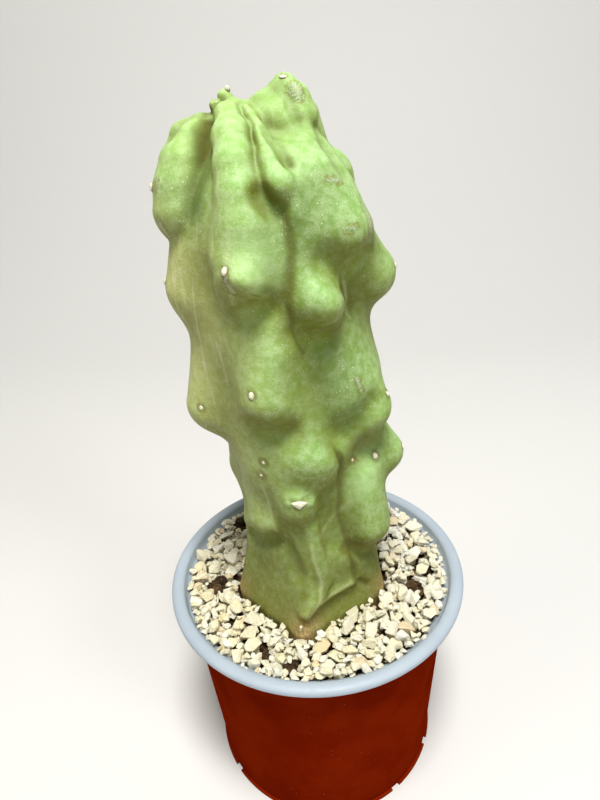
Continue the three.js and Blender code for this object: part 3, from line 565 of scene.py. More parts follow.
# %% Values on the skin
APEX = np.array([-15.0, 1.0, 203.0])      # the growing point
SUNNED_SIDE = -168           # degrees of azimuth
SCAB_RING = 0.9              # mm that a scab's brown edge stands out from it
HALO_RADIUS = 1.6            # mm from an areole's middle to the brown ring round it
HALO_WIDTH = 0.7
x, y, height = stem_mm.T
nx, _, nz = stem_normals.T
middle_x, middle_y = middle(height)
stem_azimuth = np.degrees(np.arctan2(y - middle_y, x - middle_x))
facing = np.clip(np.cos(np.radians(stem_azimuth - SUNNED_SIDE)), 0, 1) ** 1.5
old_wood = np.clip((192 - height) / 34, 0.15, 1)
areole_gap = np.min([np.linalg.norm(stem_mm - place, axis=1) for place, _ in areole_seats], axis=0)
corner_turn = np.min([np.abs((stem_azimuth - azimuth + 180) % 360 - 180)
                      for azimuth, _ in FOOT_CORNERS], axis=0)
# Painted shade: the hollows, the faces turned down, the lower stem, the patch beside the crown's
# ridge and three duller patches. Painted light: the faces turned up and two brighter patches.
SKIN_VALUES = {
    # painted shade in the hollows, the narrow ones and the wide ones
    "hollow": crowded(reach=5.0, fade=3.5),
    "wide_hollow": wide_hollow,
    # painted shade on the faces turned down, under the knobs
    "under": np.clip(-nz * 1.6 + 0.15, 0, 1),
    "young": np.clip(1 - (np.linalg.norm(stem_mm - APEX, axis=1) - 8) / 34, 0, 1),
    "sunned": facing * old_wood * np.clip(height / 150, 0.25, 0.9),
    "cork": np.exp(-(corner_turn / 11) ** 2) * np.clip((20 - height) / 14, 0, 1),
    "seam": marked(SEAM_LINES, 0.9),
    "scab": scab,
    "scab_edge": np.clip(
        marked([(width + SCAB_RING, path) for width, path in SCABS], 0.8) - scab, 0, 1),
    "pale_line": marked(PALE_LINES, 1.2),
    # painted light on the faces turned up, weaker in the hollows and on the sides
    "painted_top_light": np.clip(0.45 + 0.75 * nz - 0.45 * wide_hollow - 0.25 * nx ** 2, 0, 1),
    # painted shade, growing darker towards the foot
    "low": np.clip(1.1 - height / 68, 0, 1),
    "ridge_shadow": marked(RIDGE_SHADOW_PATCHES, 5.0),
    "shade_and_dust": marked(SHADE_AND_DUST_PATCHES, 10.0),
    "painted_light": marked(LIT_PATCHES, 9.0),
    "halo": np.clip(1.4 - np.abs(areole_gap - HALO_RADIUS) / HALO_WIDTH, 0, 1) * 0.6,
}
for name, values in SKIN_VALUES.items():
    print(f"  {name}: {int((values > 0.5).sum())} points over a half")

# %% [markdown]
# ## Shared effects
#
# Three effects turn up in more than one material: a soft mottle made of two sizes of noise,
# a thin scatter of dust grains, and long faint streaks. Each is a small node group with its
# own scale, built once and placed wherever it is needed.

# %% Node helpers
def add_node(tree, kind, settings=None, **inputs):
    node = tree.nodes.new(kind)
    for key, value in (settings or {}).items():
        setattr(node, key, value)
    for key, value in inputs.items():
        connect(tree, value, node.inputs[key.replace("_", " ")])
    return node


def connect(tree, value, socket):
    if isinstance(value, bpy.types.NodeSocket):
        tree.links.new(value, socket)
    else:
        socket.default_value = value


def blend_colour(tree, factor, first, second):
    node = tree.nodes.new("ShaderNodeMix")
    node.data_type = "RGBA"
    connect(tree, factor, node.inputs[0])
    connect(tree, first, node.inputs[6])
    connect(tree, second, node.inputs[7])
    return node.outputs[2]


def figure(tree, operation, first, second=0.0, clamp=False):
    node = tree.nodes.new("ShaderNodeMath")
    node.operation = operation
    node.use_clamp = clamp
    connect(tree, first, node.inputs[0])
    connect(tree, second, node.inputs[1])
    return node.outputs[0]


def times(tree, first, second, clamp=False):
    return figure(tree, "MULTIPLY", first, second, clamp)


def plus(tree, first, second):
    return figure(tree, "ADD", first, second)


def coat(tree, paint, cover, share, tone):
    """Paint with a tone laid over it, as thick as the cover times the share."""
    return blend_colour(tree, times(tree, cover, share), paint, tone)


def ramp(tree, factor, low, high):
    """0 where the factor is at or under low, and 1 at or over high."""
    node = tree.nodes.new("ShaderNodeMapRange")
    node.interpolation_type = "SMOOTHSTEP"
    connect(tree, factor, node.inputs["Value"])
    node.inputs["From Min"].default_value = low
    node.inputs["From Max"].default_value = high
    return node.outputs["Result"]


def point_value(tree, name):
    """A number that was kept on the piece's points."""
    return add_node(tree, "ShaderNodeAttribute", {"attribute_name": name}).outputs["Fac"]


def object_place(tree):
    return add_node(tree, "ShaderNodeTexCoord").outputs["Object"]


def colour(red, green, blue):
    """An 0 to 255 screen colour as the linear colour that a socket takes."""
    def linear(value):
        value /= 255
        return value / 12.92 if value <= 0.04045 else ((value + 0.055) / 1.055) ** 2.4
    return (linear(red), linear(green), linear(blue), 1)


print("mid grey for a socket:", [round(value, 3) for value in colour(128, 128, 128)])


# %% Material helpers
def new_material(name, roughness, **settings):
    material = bpy.data.materials.new(name)
    material.use_nodes = True
    tree = material.node_tree
    shader = tree.nodes["Principled BSDF"]
    connect(tree, roughness, shader.inputs["Roughness"])
    for key, value in settings.items():
        shader.inputs[key.replace("_", " ")].default_value = value
    return material, tree, shader


def bump(tree, height, distance):
    return add_node(tree, "ShaderNodeBump", Height=height, Distance=distance).outputs["Normal"]


def effect(tree, group, **inputs):
    node = tree.nodes.new("ShaderNodeGroup")
    node.node_tree = group
    for key, value in inputs.items():
        connect(tree, value, node.inputs[key])
    return node.outputs


print("materials so far:", len(bpy.data.materials))


# %% Effect groups
def new_group(name, inputs, outputs):
    tree = bpy.data.node_groups.new(name, "ShaderNodeTree")
    for label, default in inputs.items():
        kind = "NodeSocketVector" if label == "Place" else "NodeSocketFloat"
        socket = tree.interface.new_socket(label, in_out="INPUT", socket_type=kind)
        if kind == "NodeSocketFloat":
            socket.default_value = default
    for label in outputs:
        tree.interface.new_socket(label, in_out="OUTPUT", socket_type="NodeSocketFloat")
    return tree, tree.nodes.new("NodeGroupInput").outputs, tree.nodes.new("NodeGroupOutput").inputs


def mottle_group():
    tree, given, out = new_group("soft_mottle", {"Place": None, "Scale": 200.0}, ["Broad", "Fine"])
    broad = add_node(tree, "ShaderNodeTexNoise", Vector=given["Place"], Scale=given["Scale"],
                     Detail=3.0, Roughness=0.6)
    fine_scale = times(tree, given["Scale"], 9.0)
    fine = add_node(tree, "ShaderNodeTexNoise", Vector=given["Place"], Scale=fine_scale,
                    Detail=2.0, Roughness=0.65)
    connect(tree, ramp(tree, broad.outputs["Fac"], 0.32, 0.68), out["Broad"])
    connect(tree, ramp(tree, fine.outputs["Fac"], 0.3, 0.7), out["Fine"])
    return tree


def grains_group():
    tree, given, out = new_group(
        "scattered_grains", {"Place": None, "Scale": 900.0, "Size": 0.25, "Share": 0.3}, ["Mask"])
    cells = add_node(tree, "ShaderNodeTexVoronoi", Vector=given["Place"], Scale=given["Scale"])
    near = figure(tree, "LESS_THAN", cells.outputs["Distance"], given["Size"])
    chance = add_node(tree, "ShaderNodeSeparateColor", Color=cells.outputs["Color"]).outputs[0]
    chosen = figure(tree, "LESS_THAN", chance, given["Share"])
    connect(tree, times(tree, near, chosen), out["Mask"])
    return tree


def streaks_group():
    tree, given, out = new_group("long_streaks", {"Place": None, "Scale": 300.0}, ["Mask"])
    squash = add_node(tree, "ShaderNodeVectorMath", {"operation": "MULTIPLY"})
    connect(tree, given["Place"], squash.inputs[0])
    squash.inputs[1].default_value = (1, 1, 0.09)
    noise = add_node(tree, "ShaderNodeTexNoise", Vector=squash.outputs[0], Scale=given["Scale"],
                     Detail=2.0, Roughness=0.5, Distortion=0.9)
    connect(tree, ramp(tree, noise.outputs["Fac"], 0.58, 0.72), out["Mask"])
    return tree


MOTTLE = mottle_group()
GRAINS = grains_group()
STREAKS = streaks_group()
print("effects:", [group.name for group in (MOTTLE, GRAINS, STREAKS)])

# %% [markdown]
# ## The stem's skin
#
# The colour is built up in the order that a painter would use: two greens that drift into each
# other, pale mint painted as highlight on faces turned up, olive painted as shade in the folds,
# under the knobs and at the foot, yellow-green at the growing point, a chalky bloom kept off the
# folds and thin at the foot, so partly painted highlight, then thin brown lines. The bump is well
# under
# a tenth of a millimetre: a fine pebbling that breaks the highlights. The gloss fades in the
# folds, which the roughness does, because the export keeps a varied roughness and not a varied
# gloss.

# %% Skin material
# A value on the skin, the share of it that counts, and the tone that it brings.
FLESH_TONES_AND_PAINTED_LIGHT = [
    # the olive of the wide hollows, the undersides and the foot, and the dull green of three
    # patches, are painted shade; the pale green of two patches is painted light
    ("sunned", 0.9, (192, 190, 118)), ("wide_hollow", 0.6, (108, 120, 28)),
    ("under", 0.6, (104, 106, 24)), ("shade_and_dust", 0.6, (112, 140, 72)), ("painted_light", 0.5, (176, 216, 140)),
    ("young", 0.5, (170, 206, 112)), ("low", 0.8, (112, 106, 32)),
]
# painted shade in the narrow hollows, and a painted shadow beside the crown's ridge
SHADES = [("ridge_shadow", 0.75, (76, 94, 40)), ("hollow", 0.85, (86, 84, 26))]


def coats(tree, paint, table):
    for name, share, tone in table:
        paint = coat(tree, paint, point_value(tree, name), share, colour(*tone))
    return paint


def skin_material():
    material, tree, shader = new_material(
        "cactus_skin", 0.5, Subsurface_Weight=0.1, Subsurface_Scale=0.004,
        Subsurface_Radius=(0.6, 1.0, 0.3), Specular_IOR_Level=0.22)
    place = object_place(tree)
    drift = effect(tree, MOTTLE, Place=place, Scale=75.0)
    bloom = effect(tree, MOTTLE, Place=place, Scale=330.0)
    pebbles = effect(tree, MOTTLE, Place=place, Scale=1100.0)
    streaks = effect(tree, STREAKS, Place=place, Scale=420.0)
    grains = effect(tree, GRAINS, Place=place, Scale=820.0, Size=0.19, Share=0.24)
    # The two greens, pale mint laid over the faces turned up as painted light, and the tones of
    # the flesh over them, some of which are painted shade and painted light.
    paint = blend_colour(tree, drift["Broad"], colour(118, 134, 40), colour(134, 150, 54))
    mint_highlight = blend_colour(tree, bloom["Broad"], colour(140, 182, 102), colour(158, 198, 126))
    lit = times(tree, point_value(tree, "painted_top_light"), 1.1, clamp=True)
    paint = coats(tree, blend_colour(tree, lit, paint, mint_highlight), FLESH_TONES_AND_PAINTED_LIGHT)
    # The chalky bloom, kept off the hollows and thinner towards the foot, so that it is partly a
    # painted highlight; the streaks of the sunned side and the dust.
    open_skin = figure(tree, "SUBTRACT", 1.0, point_value(tree, "wide_hollow"), clamp=True)
    upper = figure(tree, "SUBTRACT", 1.0, times(tree, point_value(tree, "low"), 0.7))
    chalk_and_highlight = times(tree, times(tree, bloom["Broad"], bloom["Fine"]), open_skin)
    chalk_and_highlight = times(tree, chalk_and_highlight, upper)
    paint = coat(tree, paint, chalk_and_highlight, 0.45, colour(206, 224, 182))
    streaked = times(tree, streaks["Mask"], point_value(tree, "sunned"))
    paint = coat(tree, paint, streaked, 0.55, colour(214, 214, 172))
    dusty = plus(tree, times(tree, point_value(tree, "shade_and_dust"), 0.4), 0.3)
    paint = coat(tree, paint, grains["Mask"], dusty, colour(220, 228, 190))
    # Painted shade in the creases and a painted shadow beside the crown's ridge, then worn lines,
    # seams and the rings round the areoles.
    paint = coats(tree, paint, SHADES)
    worn = times(tree, point_value(tree, "pale_line"), plus(tree, bloom["Fine"], 0.3), clamp=True)
    paint = coat(tree, paint, worn, 0.6, colour(204, 210, 160))
    paint = coats(tree, paint, [("seam", 0.6, (86, 84, 30))])
    paint = blend_colour(tree, point_value(tree, "halo"), paint, colour(96, 84, 36))
    # Cork at the foot's corners, and scabs with a rusty edge.
    bark = blend_colour(tree, pebbles["Broad"], colour(150, 118, 72), colour(200, 176, 124))
    paint = coat(tree, paint, point_value(tree, "cork"), 0.85, bark)
    ragged = plus(tree, pebbles["Broad"], times(tree, bloom["Fine"], 0.5))
    rust = ramp(tree, times(tree, point_value(tree, "scab_edge"), ragged), 0.3, 0.6)
    paint = coat(tree, paint, rust, 0.5, colour(126, 98, 56))
    scab = ramp(tree, times(tree, point_value(tree, "scab"), ragged), 0.25, 0.5)
    crust = blend_colour(tree, bloom["Fine"], colour(132, 146, 102), colour(198, 206, 172))
    paint = coat(tree, paint, scab, 0.75, crust)
    connect(tree, paint, shader.inputs["Base Color"])
    relief = plus(tree, pebbles["Broad"], times(tree, bloom["Broad"], 0.8))
    relief = plus(tree, relief, times(tree, scab, 3.0))
    connect(tree, bump(tree, relief, 0.00006), shader.inputs["Normal"])
    matt = plus(tree, times(tree, chalk_and_highlight, 0.25), 0.82)
    polish = times(tree, times(tree, open_skin, upper), 0.37)
    connect(tree, figure(tree, "SUBTRACT", matt, polish), shader.inputs["Roughness"])
    return material


stem = make_piece("cactus_skin", stem_bmesh, skin_material())
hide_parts("cactus_stem")
for name, values in SKIN_VALUES.items():
    keep_values(stem, name, values)

# %% [markdown]
# ## Areoles
#
# Each knob carries one areole just above its tip: a felt cushion a few millimetres wide, pale
# in the middle and brown at the edge. A cushion is a ball pressed flat and dented by noise,
# laid against the skin along the skin's own outward direction.

# %% Felt material
def felt_material():
    material, tree, shader = new_material("areole_felt", 0.95, Specular_IOR_Level=0.1)
    tufts = effect(tree, MOTTLE, Place=object_place(tree), Scale=1500.0)
    paint = blend_colour(tree, tufts["Broad"], colour(238, 230, 188), colour(254, 252, 240))
    paint = coats(tree, paint, [("edge", 0.8, (112, 84, 40))])
    connect(tree, paint, shader.inputs["Base Color"])
    connect(tree, bump(tree, tufts["Fine"], 0.00006), shader.inputs["Normal"])
    return material


FELT = felt_material()
print("material:", FELT.name)

# %% Felt cushions
# Felt on the growing point: place, outward direction, width, height and thickness.
TUFTS = [
    ([0.1, 0.8, 212.0], (0, -0.3, 1), 1.3, 1.1, 0.4),
    ([-18, 2.4, 209.7], (0.2, -0.4, 1), 0.9, 0.9, 1.1),
    ([-21.6, 0.2, 206.2], (-0.6, -0.6, 0.4), 0.5, 0.5, 0.4),
]
# The low front areole is one wide cushion, straight above and pointed below.
LOW_TUFT = ([-3.3, -36.9, 73.9], (0, -1, 0.15), 3.0, 2.3, 1.0)
CUSHION_SHAPE = np.array([0.8, 0.95, 0.55])      # width, height, thickness for a radius of 1
BROWN_EDGE = 0.25            # share of the thickness that is brown at its foot
DENTS = 0.16


def cushion(bm, place, outward, wide, tall, thick, random, rim, pointed=0.0):
    """A pressed and dented ball at a place in mm; a pointed one is level above, narrow below."""
    made = bmesh.ops.create_icosphere(bm, subdivisions=3, radius=1)["verts"]
    turn = Vector(outward).to_track_quat("Z", "Y").to_matrix()
    centre = Vector((place[0], place[1], place[2] + STEM_ZERO))
    for vertex in made:
        unit = vertex.co.copy()
        vertex[rim] = min(1.0, max(0.0, BROWN_EDGE - unit.z) / BROWN_EDGE) * random.uniform(0.6, 1)
        dent = 1 + DENTS * (random.random() - 0.5)
        narrow = 1 + pointed * 0.75 * min(0.0, unit.y)
        height = unit.y * tall * (1 - pointed * 0.6 * (unit.y > 0))
        flat = Vector((unit.x * wide * narrow, height, unit.z * thick)) * dent
        vertex.co = (centre + turn @ flat) * MM


random = np.random.default_rng(5)
bm = bmesh.new()
rim = bm.verts.layers.float.new("edge")      # becomes a value on the felt's points
for (place, outward), (_, _, radius) in zip(areole_seats, AREOLES):
    cushion(bm, place, outward, *(radius * CUSHION_SHAPE), random, rim)
for place, outward, *size in TUFTS:
    cushion(bm, place, outward, *size, random, rim)
cushion(bm, *LOW_TUFT, random, rim, pointed=1.0)
make_piece("areole_felt", bm, FELT)

# %% [markdown]
# ## The pot
#
# Two layers, as in the solid: a brick-red shell and a pale grey liner, which is rolled out
# over the shell's edge as the rim. Both are spun from a closed section. The section's corners
# are rounded before the spin, by walking a short arc round each one.

# %% Sizes of the pot
# All in mm. The wall widens evenly from its base to the top of the shell.
BASE_RADIUS = 54.6
SHELL_TOP = 98.6
SHELL_TOP_RADIUS = 60.5
SHELL_THICKNESS = 1.0
LINER_THICKNESS = 0.9
LAYER_GAP = 0.3
FLOOR_RISE = 4.5
FOOT_INNER_RADIUS = 49
FOOT_LIP = 1.3
LIP_NOTCHES = 12
NOTCH_TURN = 6.5             # degrees
NOTCH_ANGLE = 4.5
DRAIN_RADIUS = 4.5
DRAIN_RING = 30
LINER_BOTTOM = 1.3
LINER_FLOOR = 2.2
SHOULDER_TOP = 100
SHOULDER_RADIUS = 61.1
RIM_RADIUS = 67.8
RIM_HALF_WIDTH = 2.9
RIM_HALF_HEIGHT = 1.9
RIM_THICKNESS = 1.0
RIM_CENTRE_HEIGHT = 103.1
RIM_SKIRT = 102.2
DRAINS = [(0, 0)] + [(DRAIN_RING * math.cos(turn), DRAIN_RING * math.sin(turn))
                     for turn in np.radians(np.arange(0, 360, 60))]


def wall_radius(height):
    return BASE_RADIUS + (SHELL_TOP_RADIUS - BASE_RADIUS) * height / SHELL_TOP


def liner_inner(height):
    return wall_radius(height) - SHELL_THICKNESS - LAYER_GAP - LINER_THICKNESS


print("wall: radius", wall_radius(0), "to", round(wall_radius(SHELL_TOP), 1), "mm")

# %% Spinning a section
SPIN_STEPS = 192
LIP_STEPS = 14
ARC_STEPS = 4
FULL_TURN = 2 * math.pi


def rounded(section, radius):
    """The closed section with each corner replaced by a short arc of about that radius."""
    result = []
    for index, corner in enumerate(section):
        corner = np.array(corner, float)
        before = np.array(section[index - 1], float) - corner
        after = np.array(section[(index + 1) % len(section)], float) - corner
        reach = min(radius, np.linalg.norm(before) / 2.1, np.linalg.norm(after) / 2.1)
        start = corner + before / np.linalg.norm(before) * reach
        end = corner + after / np.linalg.norm(after) * reach
        for t in np.arange(ARC_STEPS + 1) / ARC_STEPS:
            result.append((1 - t) ** 2 * start + 2 * t * (1 - t) * corner + t * t * end)
    return result


def spin_section(bm, section, angle=FULL_TURN, turn=0.0, steps=SPIN_STEPS):
    points = [Vector((r * math.cos(turn), r * math.sin(turn), z)) * MM for r, z in section]
    verts = [bm.verts.new(point) for point in points]
    edges = [bm.edges.new((a, b)) for a, b in zip(verts, verts[1:] + verts[:1])]
    full = angle == FULL_TURN
    if not full:
        bm.faces.new(verts)
    bmesh.ops.spin(bm, geom=edges + verts, cent=(0, 0, 0), axis=(0, 0, 1), angle=angle,
                   steps=steps, use_merge=full)
    bmesh.ops.recalc_face_normals(bm, faces=bm.faces)


def rim_arch(inset, steps=14):
    """Upper half of the rim's flattened section, from its inner side to its outer."""
    angles = np.radians(np.linspace(180, 0, steps + 1))
    return [(RIM_RADIUS - RIM_HALF_WIDTH + (RIM_HALF_WIDTH - inset) * math.cos(angle),
             RIM_CENTRE_HEIGHT + (RIM_HALF_HEIGHT - inset) * math.sin(angle)) for angle in angles]


print("points in the rim's arch:", len(rim_arch(0)))


# %% Plates with drain holes
def pot_floor(bm, radius, bottom, top):
    """A round plate with its drain holes: rings filled between, then drawn up to thickness."""
    loops = []
    for x, y, r, sides in [(0, 0, radius, 48)] + [(x, y, DRAIN_RADIUS, 20) for x, y in DRAINS]:
        place = Matrix.Translation(Vector((x, y, bottom)) * MM)
        ring = bmesh.ops.create_circle(bm, segments=sides, radius=r * MM, matrix=place)
        loops += dict.fromkeys(edge for vertex in ring["verts"] for edge in vertex.link_edges)
    flat = bmesh.ops.triangle_fill(bm, edges=loops, use_beauty=True)["geom"]
    faces = [part for part in flat if isinstance(part, bmesh.types.BMFace)]
    drawn = bmesh.ops.extrude_face_region(bm, geom=faces)["geom"]
    lifted = [part for part in drawn if isinstance(part, bmesh.types.BMVert)]
    bmesh.ops.translate(bm, verts=lifted, vec=(0, 0, (top - bottom) * MM))


print("drain holes:", len(DRAINS))


# %% Pot materials
def plastic_material(name, paint_low, paint_high, roughness, shine):
    material, tree, shader = new_material(name, roughness, Specular_IOR_Level=shine)
    place = object_place(tree)
    drift = effect(tree, MOTTLE, Place=place, Scale=40.0)
    dust = effect(tree, GRAINS, Place=place, Scale=620.0, Size=0.1, Share=0.08)
    scuffs = effect(tree, STREAKS, Place=place, Scale=160.0)
    paint = blend_colour(tree, drift["Broad"], paint_low, paint_high)
    paint = coat(tree, paint, dust["Mask"], 0.35, colour(196, 180, 160))
    connect(tree, paint, shader.inputs["Base Color"])
    worn = plus(tree, times(tree, scuffs["Mask"], 0.14), times(tree, drift["Fine"], 0.06))
    connect(tree, plus(tree, worn, roughness), shader.inputs["Roughness"])
    connect(tree, bump(tree, drift["Fine"], 0.00004), shader.inputs["Normal"])
    return material


BRICK = plastic_material("brick_plastic", colour(110, 23, 2), colour(124, 31, 4), 0.55, 0.0)
GREY = plastic_material("grey_plastic", colour(158, 170, 182), colour(166, 178, 189), 0.45, 0.4)
print("materials:", BRICK.name, GREY.name)

# %% The shell and its notched foot
bm = bmesh.new()
wall = SHELL_THICKNESS
shell_section = [
    (FOOT_INNER_RADIUS - 2, FLOOR_RISE), (FOOT_INNER_RADIUS, 0), (BASE_RADIUS, 0),
    (SHELL_TOP_RADIUS, SHELL_TOP), (SHELL_TOP_RADIUS - wall, SHELL_TOP),
    (wall_radius(wall) - wall, wall), (FOOT_INNER_RADIUS + wall, wall),
    (FOOT_INNER_RADIUS - 2 + wall, FLOOR_RISE + wall), (FOOT_INNER_RADIUS - 3, FLOOR_RISE + wall),
    (FOOT_INNER_RADIUS - 3, FLOOR_RISE),
]
spin_section(bm, rounded(shell_section, 0.45))
lip_section = rounded([
    (BASE_RADIUS - 0.6, 0), (BASE_RADIUS + FOOT_LIP, 0),
    (BASE_RADIUS + FOOT_LIP, FOOT_LIP), (BASE_RADIUS - 0.6, FOOT_LIP),
], 0.3)
for index in range(LIP_NOTCHES):
    start = math.radians(NOTCH_TURN + NOTCH_ANGLE / 2 + 360 * index / LIP_NOTCHES)
    sweep = math.radians(360 / LIP_NOTCHES - NOTCH_ANGLE)
    spin_section(bm, lip_section, sweep, start, LIP_STEPS)
pot_floor(bm, FOOT_INNER_RADIUS - 2.5, FLOOR_RISE, FLOOR_RISE + wall)
bmesh.ops.recalc_face_normals(bm, faces=bm.faces)
shell = make_piece("shell_skin", bm, BRICK)
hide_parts("pot_shell")

# %% The liner and its rolled rim
bm = bmesh.new()
wall = LINER_THICKNESS
outer_top = SHELL_TOP_RADIUS - SHELL_THICKNESS - LAYER_GAP
outer_low = wall_radius(LINER_BOTTOM) - SHELL_THICKNESS - LAYER_GAP
# Rounded as a box, of which only the arcs of the two lower corners are kept.
rim_edge = rounded([
    (RIM_RADIUS - RIM_THICKNESS, RIM_SKIRT + 0.4), (RIM_RADIUS - RIM_THICKNESS, RIM_SKIRT),
    (RIM_RADIUS, RIM_SKIRT), (RIM_RADIUS, RIM_SKIRT + 0.4),
], 0.4)[ARC_STEPS + 1:-ARC_STEPS - 1]
liner_section = [
    (outer_low, LINER_BOTTOM), (outer_top, SHELL_TOP + LAYER_GAP),
    (SHOULDER_RADIUS + wall, SHOULDER_TOP - wall),
    *rim_arch(RIM_THICKNESS), *rim_edge, *reversed(rim_arch(0)),
    (SHOULDER_RADIUS + 0.1, SHOULDER_TOP + 0.8), (SHOULDER_RADIUS - 0.3, SHOULDER_TOP),
    (liner_inner(SHELL_TOP) + 0.4, SHELL_TOP + LAYER_GAP + wall / 2 + 0.2),
    (liner_inner(SHELL_TOP), SHELL_TOP - 0.6), (liner_inner(LINER_FLOOR), LINER_FLOOR),
    (outer_low - wall, LINER_FLOOR),
]
spin_section(bm, liner_section)
pot_floor(bm, FOOT_INNER_RADIUS, FLOOR_RISE + LINER_BOTTOM, FLOOR_RISE + LINER_FLOOR)
bmesh.ops.recalc_face_normals(bm, faces=bm.faces)
liner = make_piece("liner_skin", bm, GREY)
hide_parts("pot_liner")

# %% [markdown]
# ## The potting mix
#
# The mix keeps its solid and only gets a better surface: dark crumbs of several sizes. Where
# the stones part, loose pieces of bark lie on it.

# %% Mix and bark
def mix_material():
    material, tree, shader = new_material("potting_mix", 0.95, Specular_IOR_Level=0.15)
    place = object_place(tree)
    clods = effect(tree, MOTTLE, Place=place, Scale=420.0)
    specks = effect(tree, GRAINS, Place=place, Scale=700.0, Size=0.32, Share=0.18)
    paint = blend_colour(tree, clods["Broad"], colour(38, 28, 20), colour(92, 72, 50))
    paint = blend_colour(tree, specks["Mask"], paint, colour(168, 146, 108))
    connect(tree, paint, shader.inputs["Base Color"])
    connect(tree, bump(tree, clods["Broad"], 0.0009), shader.inputs["Normal"])
    return material


def bark_material():
    material, tree, shader = new_material("bark", 0.85, Specular_IOR_Level=0.25)
    place = object_place(tree)
    fibres = effect(tree, STREAKS, Place=place, Scale=900.0)
    clods = effect(tree, MOTTLE, Place=place, Scale=600.0)
    tint = point_value(tree, "tint")
    paint = blend_colour(tree, tint, colour(66, 48, 30), colour(146, 112, 70))
    paint = coat(tree, paint, clods["Broad"], 0.6, colour(34, 24, 16))
    paint = coat(tree, paint, fibres["Mask"], 0.6, colour(178, 146, 104))
    connect(tree, paint, shader.inputs["Base Color"])
    connect(tree, bump(tree, clods["Fine"], 0.0005), shader.inputs["Normal"])
    return material


mix_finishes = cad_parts["potting_mix"].data.materials
mix_finishes.clear()
mix_finishes.append(mix_material())
BARK_FINISH = bark_material()
print("materials:", mix_finishes[0].name, BARK_FINISH.name)

# %% [markdown]
# ## The top dressing
#
# Crushed stone has flat faces and blunt corners, so each chip is the convex hull of a few
# points scattered on a flattened ball. A couple of dozen different chips are enough. They are
# then dropped one by one on a map of heights: a chip tries several places, takes the one
# where it would come to rest lowest, and raises the map by its own shape.

# %% Chips
CHIP_KINDS = 24
CHIP_BEVEL = 0.025           # for a chip about 1 across
FLAT_ENOUGH = 0.3            # radians; facets that meet flatter than this become one


def chip_shape(random):
    """One chip about 1 across: its mesh, and the planes of its faces."""
    bm = bmesh.new()
    shape = np.array([1.0, random.uniform(0.66, 0.92), random.uniform(0.46, 0.72)]) / 2
    for _ in range(int(random.integers(11, 16))):
        direction = random.normal(size=3)
        direction /= np.abs(direction).max() ** 0.35 * np.linalg.norm(direction) ** 0.65
        bm.verts.new(direction * shape * random.uniform(0.86, 1.05))
    bmesh.ops.convex_hull(bm, input=bm.verts)
    loose = [vertex for vertex in bm.verts if not vertex.link_faces]
    bmesh.ops.delete(bm, geom=loose, context="VERTS")
    bmesh.ops.dissolve_limit(bm, angle_limit=FLAT_ENOUGH, verts=bm.verts, edges=bm.edges)
    bm.normal_update()
    planes = np.array([
        [*face.normal, face.normal.dot(face.calc_center_median())] for face in bm.faces])
    bmesh.ops.bevel(bm, geom=list(bm.edges), offset=CHIP_BEVEL, offset_type="OFFSET", segments=1,
                    profile=0.5, affect="EDGES", clamp_overlap=True, material=-1)
    mesh = bpy.data.meshes.new("chip")
    bm.to_mesh(mesh)
    bm.free()
    return mesh, planes


random = np.random.default_rng(12)
CHIPS = [chip_shape(random) for _ in range(CHIP_KINDS)]
print("faces in the first chips:", [len(mesh.polygons) for mesh, _ in CHIPS][:8])

# %% The map of heights
CELL = 0.5                   # mm, the map's pitch
HALF = 62                    # mm, half the map's width
BED = 95.5                   # mm above the floor, where the lowest chips lie
BLOCKED = 1e3                # a height that no chip can rest on
# x, y and radius of the small clearings where the mix shows.
MIX_SPOTS = [[-37, 36, 6.5], [-46, -7, 6], [44.5, -13, 5], [-11, -52, 3.6], [-22, -47, 3]]
grid_axis = np.arange(-HALF, HALF + CELL, CELL)
grid_x, grid_y = np.meshgrid(grid_axis, grid_axis, indexing="ij")
grid_radius = np.hypot(grid_x, grid_y)
bed = np.full(grid_x.shape, BED)
bed[grid_radius > liner_inner(SHELL_TOP)] = SHOULDER_TOP - 0.5
bed[grid_radius > SHOULDER_RADIUS] = BLOCKED
stone_level = np.full(grid_x.size, GRAVEL_LEVEL - STEM_ZERO)
at_the_stem = stem_distance(np.column_stack([grid_x.ravel(), grid_y.ravel(), stone_level])) < 0.5
bed[at_the_stem.reshape(bed.shape)] = BLOCKED
print("share of the map that is open:", round(float((bed < BLOCKED).mean()), 2))

# %% Dropping a chip
TRIES = 14
HIGHEST_REST = GRAVEL_LEVEL + 3
LEVEL_FACE = 1e-3            # a face's upward part; less than this is upright


def turn_matrix(random, tip):
    azimuth = random.uniform(0, FULL_TURN)
    lean = random.normal(0, tip)
    spin = random.uniform(0, FULL_TURN)
    return (Matrix.Rotation(azimuth, 3, "Z") @ Matrix.Rotation(math.radians(lean), 3, "X")
            @ Matrix.Rotation(spin, 3, "Z"))


def chip_heights(planes, size, turn, reach):
    """Top and underside of a turned chip over the cells round its middle."""
    normals = planes[:, :3] @ np.array(turn).T
    local = np.arange(-reach, reach + 1) * CELL
    u, v = np.meshgrid(local, local, indexing="ij")
    top = np.full(u.shape, BLOCKED)
    low = np.full(u.shape, -BLOCKED)
    for (nx, ny, nz), offset in zip(normals, planes[:, 3] * size):
        if abs(nz) < LEVEL_FACE:
            continue
        plane = (offset - nx * u - ny * v) / nz
        if nz > 0:
            top = np.minimum(top, plane)
        else:
            low = np.maximum(low, plane)
    return top, low


